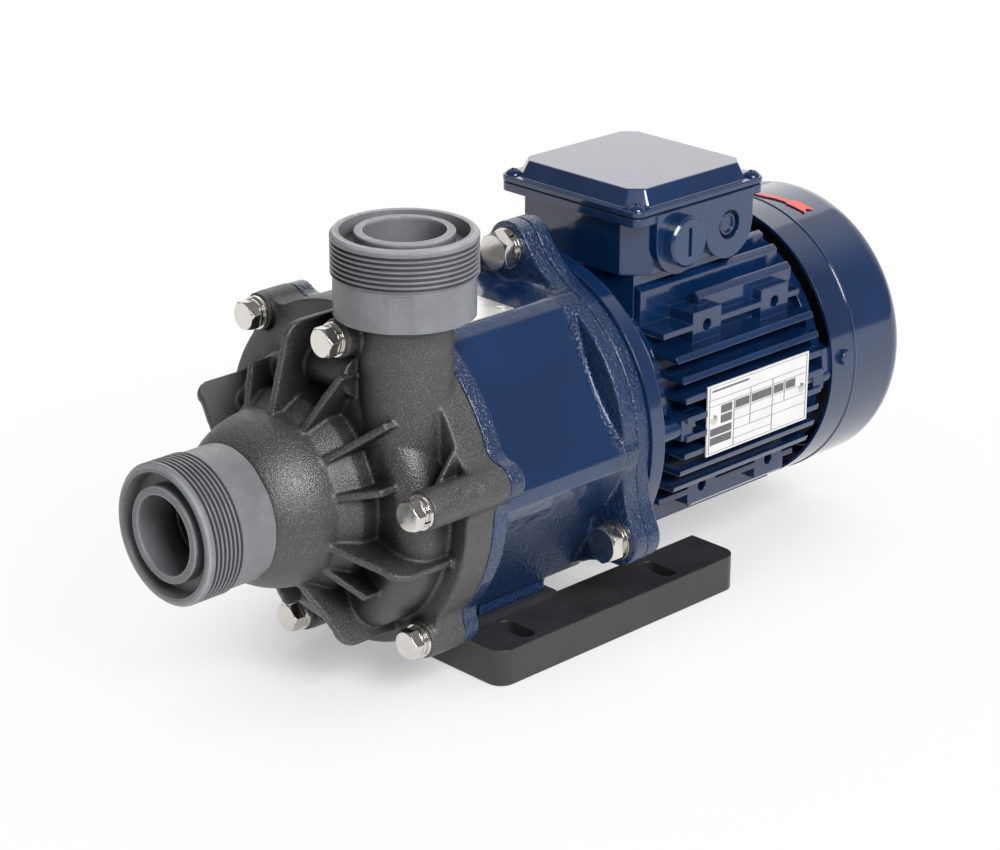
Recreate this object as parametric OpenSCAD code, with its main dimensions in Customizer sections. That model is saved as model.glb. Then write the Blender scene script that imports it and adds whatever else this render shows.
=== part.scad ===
// Magnetic drive centrifugal pump on a close-coupled flange motor.
// All lengths are in millimetres. X runs across the pump, Y runs from the suction end to the
// fan end and Z is up. The origin is on the floor, in the middle of the four foot slots.

/* [Layout] */
// Height of the lantern's foot, from the pad of the base to the lowest flat of the lantern
foot_h = 4; // [2:0.25:12]

/* [Ports] */
// Clear bore of both ports
port_bore = 37; // [30:0.5:38]
// Outside diameter of the port threads
thread_d = 65.7; // [64:0.1:70]
// Pitch of the port threads
thread_pitch = 2.309; // [1.8:0.001:2.6]
// Full grooves cut in each port thread
thread_grooves = 7; // [4:1:7]
// Length of each port fitting
fitting_len = 37.5; // [36:0.5:46]
// Plain diameter of each port fitting below its thread
fitting_d = 64; // [60:0.5:65]
// Sideways offset of the discharge port from the pump axis
discharge_x = 42.6; // [39:0.2:46]

/* [Casing] */
// Radius of the bolted flange between casing and lantern
flange_r = 82; // [79:0.5:84]
// Thickness of the casing flange
flange_t = 17; // [15:0.5:20]
// Radius of the circle of casing bolts
bolt_circle_r = 85; // [84:0.5:90]
// Radius of the bosses around the casing bolts
boss_r = 9; // [8.5:0.1:10]
// How far the short bosses stand out of the flange
short_boss = 3.7; // [2:0.1:8]
// How far the two long bosses beside the discharge pipe stand out of the flange
long_boss = 29; // [24:0.5:34]
// Radius of the dome behind the suction port
dome_r = 41.5; // [40:0.5:47]
// Distance from the discharge axis to the seat of the suction fitting
dome_reach = 67.5; // [66:0.5:74]
// Radius of the scroll
scroll_r = 68; // [65:0.5:70]
// Sideways and downward shift of the scroll off the pump axis
scroll_shift = 3; // [1:0.5:4]
// Distance from the discharge axis to the front face of the scroll
scroll_reach = 21; // [20:0.5:25]
// Rounding of the scroll's front edge
scroll_round = 13; // [8:0.5:16]
// Outside diameter of the discharge pipe
pipe_d = 43; // [42:0.5:46]
// Number of ribs around the dome
rib_count = 12; // [11:1:17]
// Thickness of the ribs
rib_t = 3.6; // [2.6:0.1:5]
// Radius reached by the tall ribs
rib_r = 76; // [73:0.5:81]

/* [Magnetic drive] */
// Diameter of the fixed ceramic shaft
pump_shaft_d = 14; // [10:0.5:16]
// Running clearance between bush and ceramic shaft, on the radius
bush_clearance = 0.06; // [0.02:0.01:0.09]
// Radius of the impeller
impeller_r = 46; // [42:0.5:50]
// Inside radius of the containment can
can_r = 33.5; // [32:0.25:35]
// Wall of the containment can
can_wall = 2.5; // [2:0.1:3]
// Number of magnets in each magnet ring
magnet_count = 8; // [6:2:10]
// Length of the magnets
magnet_len = 34; // [28:1:38]

/* [Lantern] */
// Length of the lantern between casing and motor adapter
lantern_len = 97; // [95:0.5:110]
// Thickness of the lantern's front flange
front_flange_t = 9; // [8:0.5:11]
// Thickness of the lantern's rear flange
rear_flange_t = 9; // [8:0.5:12]
// Radius of the lantern's rear flange and of the motor adapter
rear_flange_r = 78.5; // [76:0.5:80]
// Radius of the circle of adapter bolts
ear_circle_r = 85; // [84:0.5:88]
// Radius of the ears around the adapter bolts
ear_r = 13; // [11:0.5:14]
// Inside radius of the lantern
lantern_bore_r = 61; // [58:0.5:63]
// Thickness of the motor adapter
adapter_t = 8.5; // [7:0.5:12]

/* [Motor] */
// Radius of the motor flange
motor_flange_r = 80; // [78:0.5:82]
// Thickness of the motor flange
motor_flange_t = 8.5; // [7:0.5:10]
// Diameter of the motor shaft extension
motor_shaft_d = 14; // [11:0.5:14]
// Length of the motor shaft extension
motor_shaft_len = 30; // [26:0.5:32]
// Distance from the motor's flange face to its finned frame
shield_len = 27.5; // [25:0.5:34]
// Length of the finned frame
frame_len = 106; // [104:1:125]
// Outside radius of the frame tube between the fins
frame_r = 60.5; // [59:0.25:62]
// Radius reached by the fin tips
fin_r = 74.5; // [70:0.5:77]
// Distance between neighbouring fins
fin_pitch = 9.5; // [8:0.25:11]
// Thickness of the fins
fin_t = 3; // [2:0.1:4]
// Outside radius of the fan cover
cover_r = 73.9; // [73:0.1:80]
// Length of the fan cover
cover_len = 60; // [56:1:75]
// Sheet thickness of the fan cover
cover_t = 1.6; // [1:0.1:2.2]

/* [Terminal box] */
// Width of the terminal box lid across the motor
lid_w = 93.5; // [92:0.5:100]
// Length of the terminal box lid along the motor
lid_l = 93.5; // [92:0.5:100]
// Height of the terminal box floor above the motor axis
box_floor_z = 69; // [68.5:0.5:74]
// Height of the terminal box from floor to lid joint
box_h = 31; // [30:0.5:40]
// Height of the raised lid top above the lid joint
lid_h = 11.5; // [9:0.5:14]

/* [Base] */
// Width of the base
base_w = 147; // [142:1:170]
// Length of the base
base_len = 165; // [160:1:190]
// Thickness of the base
base_h = 18; // [16:0.5:20]
// Width of each of the two rails of the base
rail_w = 30.5; // [28:0.5:32]
// Height of the raised pad under the lantern
pad_h = 2; // [1:0.25:3]
// Distance between the slots across the base
slot_spacing_x = 118; // [110:1:120]
// Distance between the slots along the base
slot_spacing_y = 98; // [90:1:105]
// End to end length of the slots
slot_len = 21; // [16:0.5:22]
// Width of the slots
slot_w = 9; // [7:0.5:10]

/* [Hidden] */
$fn = 96;

// Clearances
cut = 1;                 // how far cutting bodies overshoot
slip = 0.1;              // gap of located but unloaded pieces, on the radius
press = 0.05;            // gap of closely fitted pieces, on the radius
bolt_play = 0.4;         // gap around a bolt in a through hole, on the radius
air_gap = 1;             // gap around spinning pieces

// Colours
casing_black = [0.17, 0.16, 0.16];
fitting_grey = [0.46, 0.48, 0.50];
navy = [0.06, 0.13, 0.30];
bright_steel = [0.78, 0.76, 0.73];
dull_steel = [0.55, 0.55, 0.56];
base_black = [0.10, 0.10, 0.11];
ceramic_white = [0.90, 0.89, 0.85];
carbon_grey = [0.20, 0.20, 0.21];
magnet_grey = [0.33, 0.34, 0.36];
seal_black = [0.07, 0.07, 0.07];
copper = [0.72, 0.41, 0.22];
brass_yellow = [0.80, 0.64, 0.30];
plate_silver = [0.80, 0.78, 0.74];

// Stations along the pump axis, counted from the discharge axis
joint_y = flange_t;
can_flange_t = 5;
can_seat_y = joint_y + can_flange_t;
lantern_back = joint_y + lantern_len;
ear_seat_y = lantern_back - rear_flange_t;
motor_face = lantern_back + adapter_t;
motor_flange_back = motor_face + motor_flange_t;
frame_front = motor_face + shield_len;
frame_back = frame_front + frame_len;
cover_gap = 6;
cover_front = frame_back + cover_gap;
cover_back = cover_front + cover_len;
shaft_tip_y = motor_face - motor_shaft_len;

// Fasteners: metric bolts by thread radius, head width over flats and head height
m8_r = 4;
m8_flats = 13;
m8_head = 5.3;
m10_r = 5;
m10_flats = 17;
m10_head = 6.4;
m5_r = 2.5;
m5_flats = 8;
m5_head = 3.5;
flat_washer_t = 1.6;
spring_washer_t = 2;

// Casing bolts: six around the flange, the two beside the discharge pipe are long
bolt_step = 60;
bolt_first = -40;
short_angles = [for (i = [0, 3, 4, 5]) bolt_first + i * bolt_step];
long_angles = [for (i = [1, 2]) bolt_first + i * bolt_step];
casing_angles = concat(short_angles, long_angles);
ear_angles = [0, 120, 240];
boss_blend = 10;
ear_blend = 60;
// Step between a boss and the wider foot it stands on
fillet_step = 0.15;
// Longer than any cut through the pump
far = 150;
// Pockets in the lantern ahead of its ears
pocket_len = 30;
pocket_tip_r = 8;

// Ports
port_r = port_bore / 2;
thread_r = thread_d / 2;
thread_depth = 0.64 * thread_pitch;
fitting_r = fitting_d / 2;
spigot_r = port_r + 5;
spigot_len = 16;
rim_w = 4.1;
seal_lip_w = 3.8;
seal_groove_depth = 7;
collar_z = bolt_circle_r * cos(long_angles[0]) + boss_r + bolt_play;
discharge_top = collar_z + fitting_len;
suction_face = -dome_reach - fitting_len;

// Dome: centre of its curve, and the flare behind it
dome_mid = dome_reach - 0.64 * dome_r;
flare_r = dome_r + 5.5;
flare_len = 11;
flare_back = 7;

// Casing hollow
pipe_r = pipe_d / 2;
collar_r = pipe_r + 3.5;
collar_h = 6.4;
casing_wall = 4.5;
casing_bore_r = port_r - 0.5;
chamber_r = scroll_r - 10;
chamber_front = -scroll_reach + casing_wall;
throat_front = chamber_front + 0.6;
throat_back = joint_y - casing_wall;
throat_r = (throat_back - throat_front) / 2;
throat_y = (throat_back + throat_front) / 2;
o_ring_r = chamber_r + scroll_shift * sqrt(2) + 3.8;
o_ring_section = 1.75;

// Ribs: the pitch follows the count, tall and short ones alternate
rib_first = 3;
rib_pitch = 360 / rib_count;
rib_corner = 10;
rib_root_y = -46;
rib_front_y = -34;
// The topmost rib is flush with the flange and stands further forward
top_rib_r = flange_r + 0.7;
top_rib_y = rib_front_y - 4;
// Degrees by which ribs leave the even spacing, counted from the top
rib_shift = [0, -6, -12, -18, -16, -23, -30, -25, -20, -14, -9, -2];
rib_root_r = 38;
short_rib_r = scroll_r - 7;
short_rib_y = -30;
strut_rib_r = 71;
strut_rib_y = -30;

// Fixed shaft, bush and impeller
shaft_r = pump_shaft_d / 2;
bush_r = shaft_r + 4;
spider_back = -26;
spider_len = 16;
spider_hub_r = shaft_r + 3;
thrust_ring_t = 4;
socket_depth = 10;
eye_r = port_r - 1;
eye_wall = 3.5;
shroud_t = 3;
back_plate_y = 0;
back_plate_t = 4;
hub_r = bush_r + 5;
capsule_y = 18;
capsule_len = magnet_len + 8;
capsule_r = can_r - air_gap;
inner_magnet_t = 6;
inner_magnet_r = capsule_r - 1;
bush_front = spider_back + thrust_ring_t + 0.5;
bush_back = capsule_y + capsule_len + 1.5;
rear_ring_y = bush_back + 0.5;
can_floor_y = rear_ring_y + thrust_ring_t + 6;
can_floor_t = 4;
can_outer_r = can_r + can_wall;
can_flange_r = o_ring_r + 7;
can_socket_r = shaft_r + 5;

// Outer magnet ring on the motor shaft
drive_magnet_ri = can_outer_r + 1.5;
drive_magnet_ro = drive_magnet_ri + 4.5;
hub_cup_r = drive_magnet_ro + 6;
hub_cup_front = can_seat_y + 2 * air_gap;
drive_magnet_y = hub_cup_front + 2;
hub_floor_y = can_floor_y + can_floor_t + 3;
hub_floor_t = 6;
hub_boss_r = 14;
hub_boss_back = motor_face - 6;

// Lantern body: six flats, one of them on top
flat_z = flange_r * cos(30);
foot_z = flat_z + foot_h;
axis_height = foot_z + pad_h + base_h;
lantern_hex_r = flange_r;
lantern_round = 2;
foot_w = 2 * lantern_hex_r * sin(30);
foot_front = 48;
foot_len = 43;
scoop_angles = [60, 300];
scoop_r = 110;
scoop_depth = 5;
scoop_len = 7;

// Motor
pilot_r = 55;
pilot_h = 3.5;
flange_screw_r = 65;
flange_screw_angles = [45, 135, 225, 315];
frame_bore_r = frame_r - 4.5;
neck_r = flange_screw_r - m8_flats / 2 / cos(30) - 0.6;
neck_wall = 5;
tie_r = frame_r + 2.5;
tie_side_r = frame_r + 7.5;
tie_boss_r = 5.2;
tie_lug_len = 8;
tie_head_room = m5_head + 4;
bearing_bore_r = 7.5;
bearing_r = 17.5;
bearing_w = 11;
ball_r = 2.2;
ball_circle_r = (bearing_bore_r + bearing_r) / 2;
ball_count = 8;
front_bearing_y = motor_face + 6;
rear_bearing_y = frame_back + 4;
bearing_hub_r = bearing_r + 5;
rotor_r = 31.5;
core_front = frame_front + 15;
core_back = frame_back - 21;
winding_len = 12;
winding_ro = neck_r - neck_wall - 1.5;
winding_ri = rotor_r + 4;
mid_shaft_r = 9;
fan_seat_r = 6;
cover_lug_len = 17;
fan_y = cover_front + cover_lug_len + 3 * air_gap;
fan_hub_len = 18;
fan_r = cover_r - 12;
fan_blade_count = 8;
motor_shaft_r = motor_shaft_d / 2;
key_w = 5;
key_h = 5;
key_len = 20;
key_y = shaft_tip_y + 4;
key_z = motor_shaft_r - key_h + 2;

// Fins, pads and plates on the frame
fin_inset = 3;
side_fin_count = 10;
top_fin_x = [31, 40.5];
pad_fin_x = 50;
pad_x = frame_r - 3;
pad_len = 20.5;
pad_low = 34;
pad_high = 50;
pad_pitch = 50;
pad_depth = 20;
// Height above and below a pad's middle up to which the fins are flush with the pad's face
pad_flush = 5;
pad_mid_y = frame_front + 59;
pad_hole_r = 3;
nameplate_l = 75;
nameplate_h = 36;
nameplate_t = 0.8;
nameplate_x = fin_r - 1.2;
nameplate_rivet_y = nameplate_l / 2 - 5;
nameplate_y = frame_front + 55;
rivet_r = 1.5;
rivet_head_r = 2.6;
rivet_head_h = 0.9;

// Fan cover
cover_round = 12;
bead_y = cover_front + 18;
bead_r = 1.2;
cover_screw_angles = [84, 204, 324];
cover_screw_y = cover_front + 8.5;
cover_screw_r = 2;
cover_lug_w = 14;
grille_rings = 5;
grille_pitch = 9.5;
grille_slot = 5;
grille_first_r = 12;
grille_spokes = 8;
spoke_w = 5;

// Terminal box
box_mid_y = frame_front + 40.7;
box_w = lid_w - 7.5;
box_l = lid_l - 8.5;
box_wall = 3;
box_flange_t = 4.2;
box_corner = 5;
box_cut = 11;
box_joint_z = box_floor_z + box_h;
gasket_t = 0.7;
lid_plate_t = 3;
lid_bevel = 5;
lid_corner_cut = 11.5;
lid_screw_x = lid_w / 2 - 5.5;
lid_screw_y = lid_l / 2 - 5.5;
lid_screw_r = 2;
pedestal_w = 76;
pedestal_l = 62;
pedestal_mid_y = frame_front + pedestal_l / 2 + 2;
entry_x = lid_w / 2 + 0.25;
entry_z = box_floor_z + 15.5;
large_entry_y = box_mid_y - 15.7;
small_entry_y = box_mid_y + 19.3;
entry_lobe_r = 17;
large_plug_r = 12.5;
large_thread_r = 10;
small_recess_r = 7.3;
small_recess_depth = 4;
small_plug_r = 5.5;
small_thread_r = 4;

// Label plate on the lantern
label_w = 73;
label_l = 42;
label_t = 0.8;
label_front = joint_y + front_flange_t + 5;

// Base
base_front = joint_y + front_flange_t + 3.7;
slot_front = base_front + 23.8;
mount_y = slot_front + slot_spacing_y / 2;
base_corner = 8;
web_len = 65;
pad_margin = 4;
base_screw_x = 25;
base_screw_y = foot_front + foot_len / 2;
base_screw_reach = 14;

// Moves children so that the pump axis is the local Y axis
module on_axis() {
    translate([0, -mount_y, axis_height]) children();
}

// Stands a shape drawn along Z on the pump axis, from station y onwards
module along_y(y) {
    translate([0, y, 0]) rotate([-90, 0, 0]) children();
}

module disc(r, y0, y1) {
    along_y(y0) cylinder(r = r, h = y1 - y0);
}

module ring(ro, ri, y0, y1) {
    difference() {
        disc(ro, y0, y1);
        disc(ri, y0 - cut, y1 + cut);
    }
}

// Copies children onto a circle around the pump axis, angles run from the top towards +X
module around(r, angles) {
    for (a = angles) {
        rotate([0, a, 0]) translate([0, 0, r]) children();
    }
}

// Upright plate in the plane of the pump axis, its outline is given as station and radius
module radial_plate(thickness, outline) {
    rotate([90, 0, 90]) linear_extrude(height = thickness, center = true) polygon(outline);
}

// Hexagon bolt pointing along +Y from the underside of its head at y = 0
module hex_bolt(r, flats, head, len) {
    chamfer = 0.12 * flats;
    intersection() {
        along_y(-head) rotate([0, 0, 30]) cylinder(d = flats / cos(30), h = head, $fn = 6);
        union() {
            along_y(-head) cylinder(r1 = flats / 2 - 0.2, r2 = flats / 2 + chamfer, h = chamfer);
            disc(flats / 2 + chamfer, chamfer - head, 0);
        }
    }
    disc(r, -cut / 2, len);
}

// Split spring washer
module spring_washer(r) {
    difference() {
        ring(r + 3, r + slip, 0, spring_washer_t);
        rotate([0, 25, 0]) translate([0, -cut, r]) cube([1.2, 9, 6]);
    }
}

// Union end with its seat at z = 0 and its threaded face up
module union_end() {
    thread_base = fitting_len - (thread_grooves + 1) * thread_pitch;
    teeth = [for (i = [0:thread_grooves - 1], p = [[0, 0.10], [1, 0.30], [1, 0.55], [0, 0.75]])
        [thread_r - thread_depth * p[0], thread_base + (i + p[1]) * thread_pitch]];
    top = fitting_len;
    shoulder = 0.8;
    flat_depth = 0.5;
    rim_inner_r = thread_r - rim_w;
    lip_r = port_r + seal_lip_w;
    color(fitting_grey) difference() {
        rotate_extrude() polygon(concat(
            [[spigot_r + slip, 0], [fitting_r, 0], [fitting_r, thread_base - shoulder],
                [thread_r, thread_base]],
            teeth,
            [[thread_r, top - 1.4], [thread_r - 1.2, top], [rim_inner_r, top],
                [rim_inner_r - 1.2, top - seal_groove_depth], [lip_r, top - seal_groove_depth],
                [lip_r, top - 0.4], [lip_r - 0.4, top], [port_r, top],
                [port_r, spigot_len], [spigot_r + slip, spigot_len]]));
        for (a = [45:90:315]) {
            rotate([0, 0, a]) translate([fitting_r - flat_depth, -fitting_r, -cut])
                cube([fitting_r, fitting_d, thread_base - shoulder - 1 + cut]);
        }
    }
}

module suction_fitting() {
    on_axis() translate([0, -dome_reach, 0]) rotate([90, 0, 0]) union_end();
}

module discharge_fitting() {
    on_axis() translate([discharge_x, 0, collar_z]) union_end();
}

// Round plate with ears around its bolts. Hollow curves of radius blend_r lead from the ears to
// the plate, set in a little so that they cross both. The pieces run past the plate's two faces
// by different lengths and are cut off together.
module eared_plate(r, circle_r, lobe_r, angles, y0, y1, blend_r) {
    set_in = 0.1;
    plate_d = r + blend_r - set_in;
    lobe_d = lobe_r + blend_r - set_in;
    turn = acos((circle_r ^ 2 + plate_d ^ 2 - lobe_d ^ 2) / (2 * circle_r * plate_d));
    blend_x = plate_d * sin(turn);
    blend_z = plate_d * cos(turn);
    difference() {
        union() {
            disc(r, y0 - cut, y1 + cut);
            around(circle_r, angles) disc(lobe_r, y0 - 2 * cut, y1 + 2 * cut);
            around(0, angles) difference() {
                along_y(y0 - 3 * cut) linear_extrude(height = y1 - y0 + 6 * cut)
                    polygon([[0, 0], [blend_x, -blend_z], [0, -circle_r], [-blend_x, -blend_z]]);
                for (s = [-1, 1]) {
                    translate([s * blend_x, 0, blend_z])
                        disc(blend_r, y0 - 4 * cut, y1 + 4 * cut);
                }
            }
        }
        translate([-far, y0 - far, -far]) cube([2 * far, far, 2 * far]);
        translate([-far, y1, -far]) cube([2 * far, far, 2 * far]);
    }
}

// Tall rib: rises from the dome, turns round its corner and runs back to the flange
module tall_rib(reach_r, front_y) {
    corner_y = front_y + rib_corner;
    radial_plate(rib_t, [[0.5, rib_root_r], [0.5, reach_r], [corner_y, reach_r],
        [front_y, reach_r - rib_corner], [rib_root_y, rib_root_r]]);
    translate([0, corner_y, reach_r - rib_corner]) rotate([0, 90, 0])
        cylinder(r = rib_corner, h = rib_t, center = true);
}

// Low rib: leans from the dome onto the front of the scroll
module low_rib(reach_r, reach_y) {
    radial_plate(rib_t, [[-scroll_reach + 4, rib_root_r], [-scroll_reach + 4, reach_r],
        [reach_y, reach_r], [rib_root_y + 3, rib_root_r]]);
}

module casing_ribs() {
    for (i = [0:rib_count - 1]) {
        shift = i < len(rib_shift) ? rib_shift[i] : 0;
        rotate([0, rib_first + i * rib_pitch + shift, 0]) {
            if (i == 0) {
                tall_rib(top_rib_r, top_rib_y);
            } else if (i == 1 || i == 2) {
                low_rib(strut_rib_r, strut_rib_y + 6 * (i - 1));
            } else if (i % 2 == 0 && i < rib_count - 1) {
                tall_rib(rib_r, rib_front_y);
            } else {
                low_rib(short_rib_r, short_rib_y);
            }
        }
    }
}

module scroll() {
    translate([scroll_shift, 0, -scroll_shift]) {
        disc(scroll_r, -scroll_reach + scroll_round, cut);
        disc(scroll_r - scroll_round, -scroll_reach, cut);
        along_y(-scroll_reach + scroll_round) rotate_extrude()
            translate([scroll_r - scroll_round, 0]) circle(r = scroll_round);
    }
}

// Round dome cut off at the suction seat, with the flare behind it
module dome() {
    along_y(-dome_mid) rotate_extrude() {
        intersection() {
            circle(r = dome_r);
            translate([0, dome_mid - dome_reach]) square([dome_r + cut, dome_reach - dome_mid + 6]);
        }
        polygon([[0, 0.5], [dome_r - 0.5, 0.5], [flare_r, flare_len],
            [flare_r, dome_mid - flare_back], [0, dome_mid - flare_back]]);
    }
}

// Discharge pipe with its collar, and the spigot that enters the fitting
module discharge_pipe() {
    translate([discharge_x, 0, 0]) {
        cylinder(r = pipe_r, h = collar_z - cut);
        translate([0, 0, collar_z - collar_h])
            cylinder(r1 = pipe_r - 0.3, r2 = collar_r, h = collar_h);
    }
}

// Short boss across the top of the scroll, where the pipe leaves it
module throat_boss() {
    boss_w = 10;
    translate([0, -boss_w - 7, scroll_r - 8]) rotate([0, 90, 0])
        cylinder(r = boss_w, h = discharge_x - pipe_r / 2);
}

// Small web that braces the side of the lower long boss against the flange
module boss_web() {
    boss_x = bolt_circle_r * sin(long_angles[1]);
    boss_z = bolt_circle_r * cos(long_angles[1]);
    translate([boss_x - boss_r - rib_t / 4, 0, boss_z]) radial_plate(0.8 * rib_t,
        [[cut, -3], [cut, 2 * boss_r], [-cut, 2 * boss_r], [-1.3 * boss_r, 4], [-1.3 * boss_r, -3]]);
}

// Three-armed holder for the fixed shaft, inside the suction bore
module shaft_spider() {
    disc(spider_hub_r, spider_back - spider_len, spider_back);
    for (a = [0, 120, 240]) {
        rotate([0, a, 0]) translate([-2, spider_back - spider_len + 2, 0])
            cube([4, spider_len - 4, port_r + cut]);
    }
}

module pump_casing() {
    color(casing_black) on_axis() difference() {
        union() {
            difference() {
                union() {
                    eared_plate(flange_r, bolt_circle_r, boss_r + 2 * fillet_step, casing_angles,
                        0, joint_y + cut, boss_blend);
                    around(bolt_circle_r, short_angles)
                        disc(boss_r, -short_boss, joint_y + 2 * cut);
                    around(bolt_circle_r, long_angles)
                        disc(boss_r, -long_boss, joint_y + 2 * cut);
                    scroll();
                    dome();
                    casing_ribs();
                    discharge_pipe();
                    throat_boss();
                    boss_web();
                }
                translate([-far, joint_y, -far]) cube([2 * far, far, far + collar_z + cut]);
            }
            disc(spigot_r, -dome_reach - spigot_len + slip, -dome_reach + cut);
            translate([discharge_x, 0, collar_z - cut])
                cylinder(r = spigot_r, h = spigot_len + cut - slip);
        }
        difference() {
            disc(casing_bore_r, -dome_reach - spigot_len, chamber_front + cut);
            shaft_spider();
        }
        disc(shaft_r + press, spider_back - socket_depth, spider_back + cut);
        disc(eye_r + eye_wall + 0.4, -scroll_reach - 2, chamber_front + cut);
        translate([scroll_shift, 0, -scroll_shift]) disc(chamber_r, chamber_front, joint_y + cut);
        translate([discharge_x, throat_y, 0]) cylinder(r = throat_r, h = collar_z + 4);
        translate([discharge_x, 0, collar_z + 3]) cylinder(r = casing_bore_r, h = spigot_len);
        around(bolt_circle_r, casing_angles)
            disc(m8_r + bolt_play, -long_boss - cut, joint_y + cut);
    }
}

module casing_bolt_set(angles, boss, name_len) {
    stack = flat_washer_t + spring_washer_t;
    color(bright_steel) on_axis() around(bolt_circle_r, angles)
        translate([0, -boss - stack, 0]) hex_bolt(m8_r, m8_flats, m8_head, name_len + stack);
}

module casing_bolts() {
    casing_bolt_set(short_angles, short_boss, short_boss + joint_y + front_flange_t - 1);
}

module casing_bolts_long() {
    casing_bolt_set(long_angles, long_boss, long_boss + joint_y + front_flange_t - 1);
}

module casing_flat_washers() {
    color(bright_steel) on_axis() {
        around(bolt_circle_r, short_angles) translate([0, -short_boss - flat_washer_t, 0])
            ring(2 * m8_r, m8_r + slip, 0, flat_washer_t);
        around(bolt_circle_r, long_angles) translate([0, -long_boss - flat_washer_t, 0])
            ring(2 * m8_r, m8_r + slip, 0, flat_washer_t);
    }
}

module casing_spring_washers() {
    stack = flat_washer_t + spring_washer_t;
    color(bright_steel) on_axis() {
        around(bolt_circle_r, short_angles) translate([0, -short_boss - stack, 0])
            spring_washer(m8_r);
        around(bolt_circle_r, long_angles) translate([0, -long_boss - stack, 0])
            spring_washer(m8_r);
    }
}

module casing_o_ring() {
    color(seal_black) on_axis() along_y(joint_y + o_ring_section) rotate_extrude()
        translate([o_ring_r, 0]) circle(r = o_ring_section);
}

// Containment can with its clamped flange and the rear socket of the fixed shaft
module rear_casing() {
    groove = o_ring_section + slip;
    color(casing_black) on_axis() difference() {
        union() {
            disc(can_flange_r, joint_y, can_seat_y);
            disc(can_outer_r, joint_y, can_floor_y + can_floor_t);
        }
        difference() {
            disc(can_r, joint_y - cut, can_floor_y);
            disc(can_socket_r, rear_ring_y + thrust_ring_t, can_floor_y + cut);
        }
        disc(shaft_r + press, rear_ring_y, can_floor_y + 1.5);
        ring(o_ring_r + groove, o_ring_r - groove, joint_y - cut, joint_y + 2 * o_ring_section);
    }
}

module pump_shaft() {
    color(ceramic_white) on_axis() disc(shaft_r, spider_back - socket_depth, can_floor_y + 1.5);
}

module front_thrust_ring() {
    color(ceramic_white) on_axis()
        ring(spider_hub_r + 2, shaft_r + press, spider_back, spider_back + thrust_ring_t);
}

module rear_thrust_ring() {
    color(ceramic_white) on_axis()
        ring(can_socket_r, shaft_r + press, rear_ring_y, rear_ring_y + thrust_ring_t);
}

// One backward-curved blade between the two shrouds
module impeller_blade(y0, y1) {
    arc_r = 0.62 * impeller_r;
    intersection() {
        translate([arc_r, 0, 0.45 * impeller_r]) ring(arc_r + 1.5, arc_r - 1.5, y0, y1);
        ring(impeller_r - 0.5, hub_r + 4, y0, y1);
        translate([-impeller_r, y0, 0]) cube([impeller_r + arc_r / 2, y1 - y0, impeller_r]);
    }
}

module impeller() {
    front_y = chamber_front + 2;
    color(casing_black) on_axis() difference() {
        union() {
            ring(eye_r + eye_wall, eye_r, -scroll_reach, front_y + shroud_t);
            ring(impeller_r, eye_r, front_y, front_y + shroud_t);
            disc(impeller_r, back_plate_y, back_plate_y + back_plate_t);
            disc(hub_r, front_y + shroud_t, back_plate_y + cut);
            disc(0.7 * can_r, back_plate_y, capsule_y);
            for (a = [0:60:300]) {
                rotate([0, a, 0]) impeller_blade(front_y + shroud_t, back_plate_y);
            }
        }
        disc(bush_r + press, front_y - cut, capsule_y + cut);
    }
}

module impeller_bush() {
    color(carbon_grey) on_axis() ring(bush_r, shaft_r + bush_clearance, bush_front, bush_back);
}

// Sealed magnet carrier that turns inside the can
module inner_rotor() {
    wall = 4;
    color(casing_black) on_axis() difference() {
        disc(capsule_r, capsule_y, capsule_y + capsule_len);
        disc(bush_r + press, capsule_y - cut, capsule_y + capsule_len + cut);
        ring(inner_magnet_r, inner_magnet_r - inner_magnet_t, capsule_y + wall,
            capsule_y + capsule_len - wall);
    }
}

// Ring of separate arc magnets
module magnet_ring(ro, ri, y0) {
    color(magnet_grey) on_axis() difference() {
        ring(ro, ri, y0, y0 + magnet_len);
        for (a = [0:360 / magnet_count:359]) {
            rotate([0, a, 0]) translate([-0.75, y0 - cut, 0])
                cube([1.5, magnet_len + 2 * cut, ro + cut]);
        }
    }
}

module inner_magnets() {
    magnet_ring(inner_magnet_r - press, inner_magnet_r - inner_magnet_t + press, capsule_y + 4);
}

module drive_magnets() {
    magnet_ring(drive_magnet_ro - press, drive_magnet_ri, drive_magnet_y);
}

module outer_magnet_hub() {
    color(dull_steel) on_axis() difference() {
        union() {
            disc(hub_cup_r, hub_cup_front, hub_floor_y + hub_floor_t);
            disc(hub_boss_r, hub_floor_y, hub_boss_back);
        }
        disc(drive_magnet_ro, hub_cup_front - cut, drive_magnet_y + magnet_len);
        disc(drive_magnet_ri + 1.5, hub_cup_front - cut, hub_floor_y);
        disc(motor_shaft_r + press, shaft_tip_y, hub_boss_back + cut);
        translate([-key_w / 2 - press, shaft_tip_y, 0])
            cube([key_w + 2 * press, hub_boss_back - shaft_tip_y + cut, motor_shaft_r + 2.3]);
        translate([0, hub_boss_back - 8, 0]) rotate([0, 90, 0])
            cylinder(r = m5_r + slip, h = hub_boss_r + cut);
    }
}

module hub_set_screw() {
    color(dull_steel) on_axis() translate([motor_shaft_r, hub_boss_back - 8, 0]) rotate([0, 90, 0])
        difference() {
            cylinder(r = m5_r, h = hub_boss_r - motor_shaft_r - 0.5);
            translate([0, 0, 3.5]) cylinder(d = 2.9, h = 10, $fn = 6);
        }
}

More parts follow.
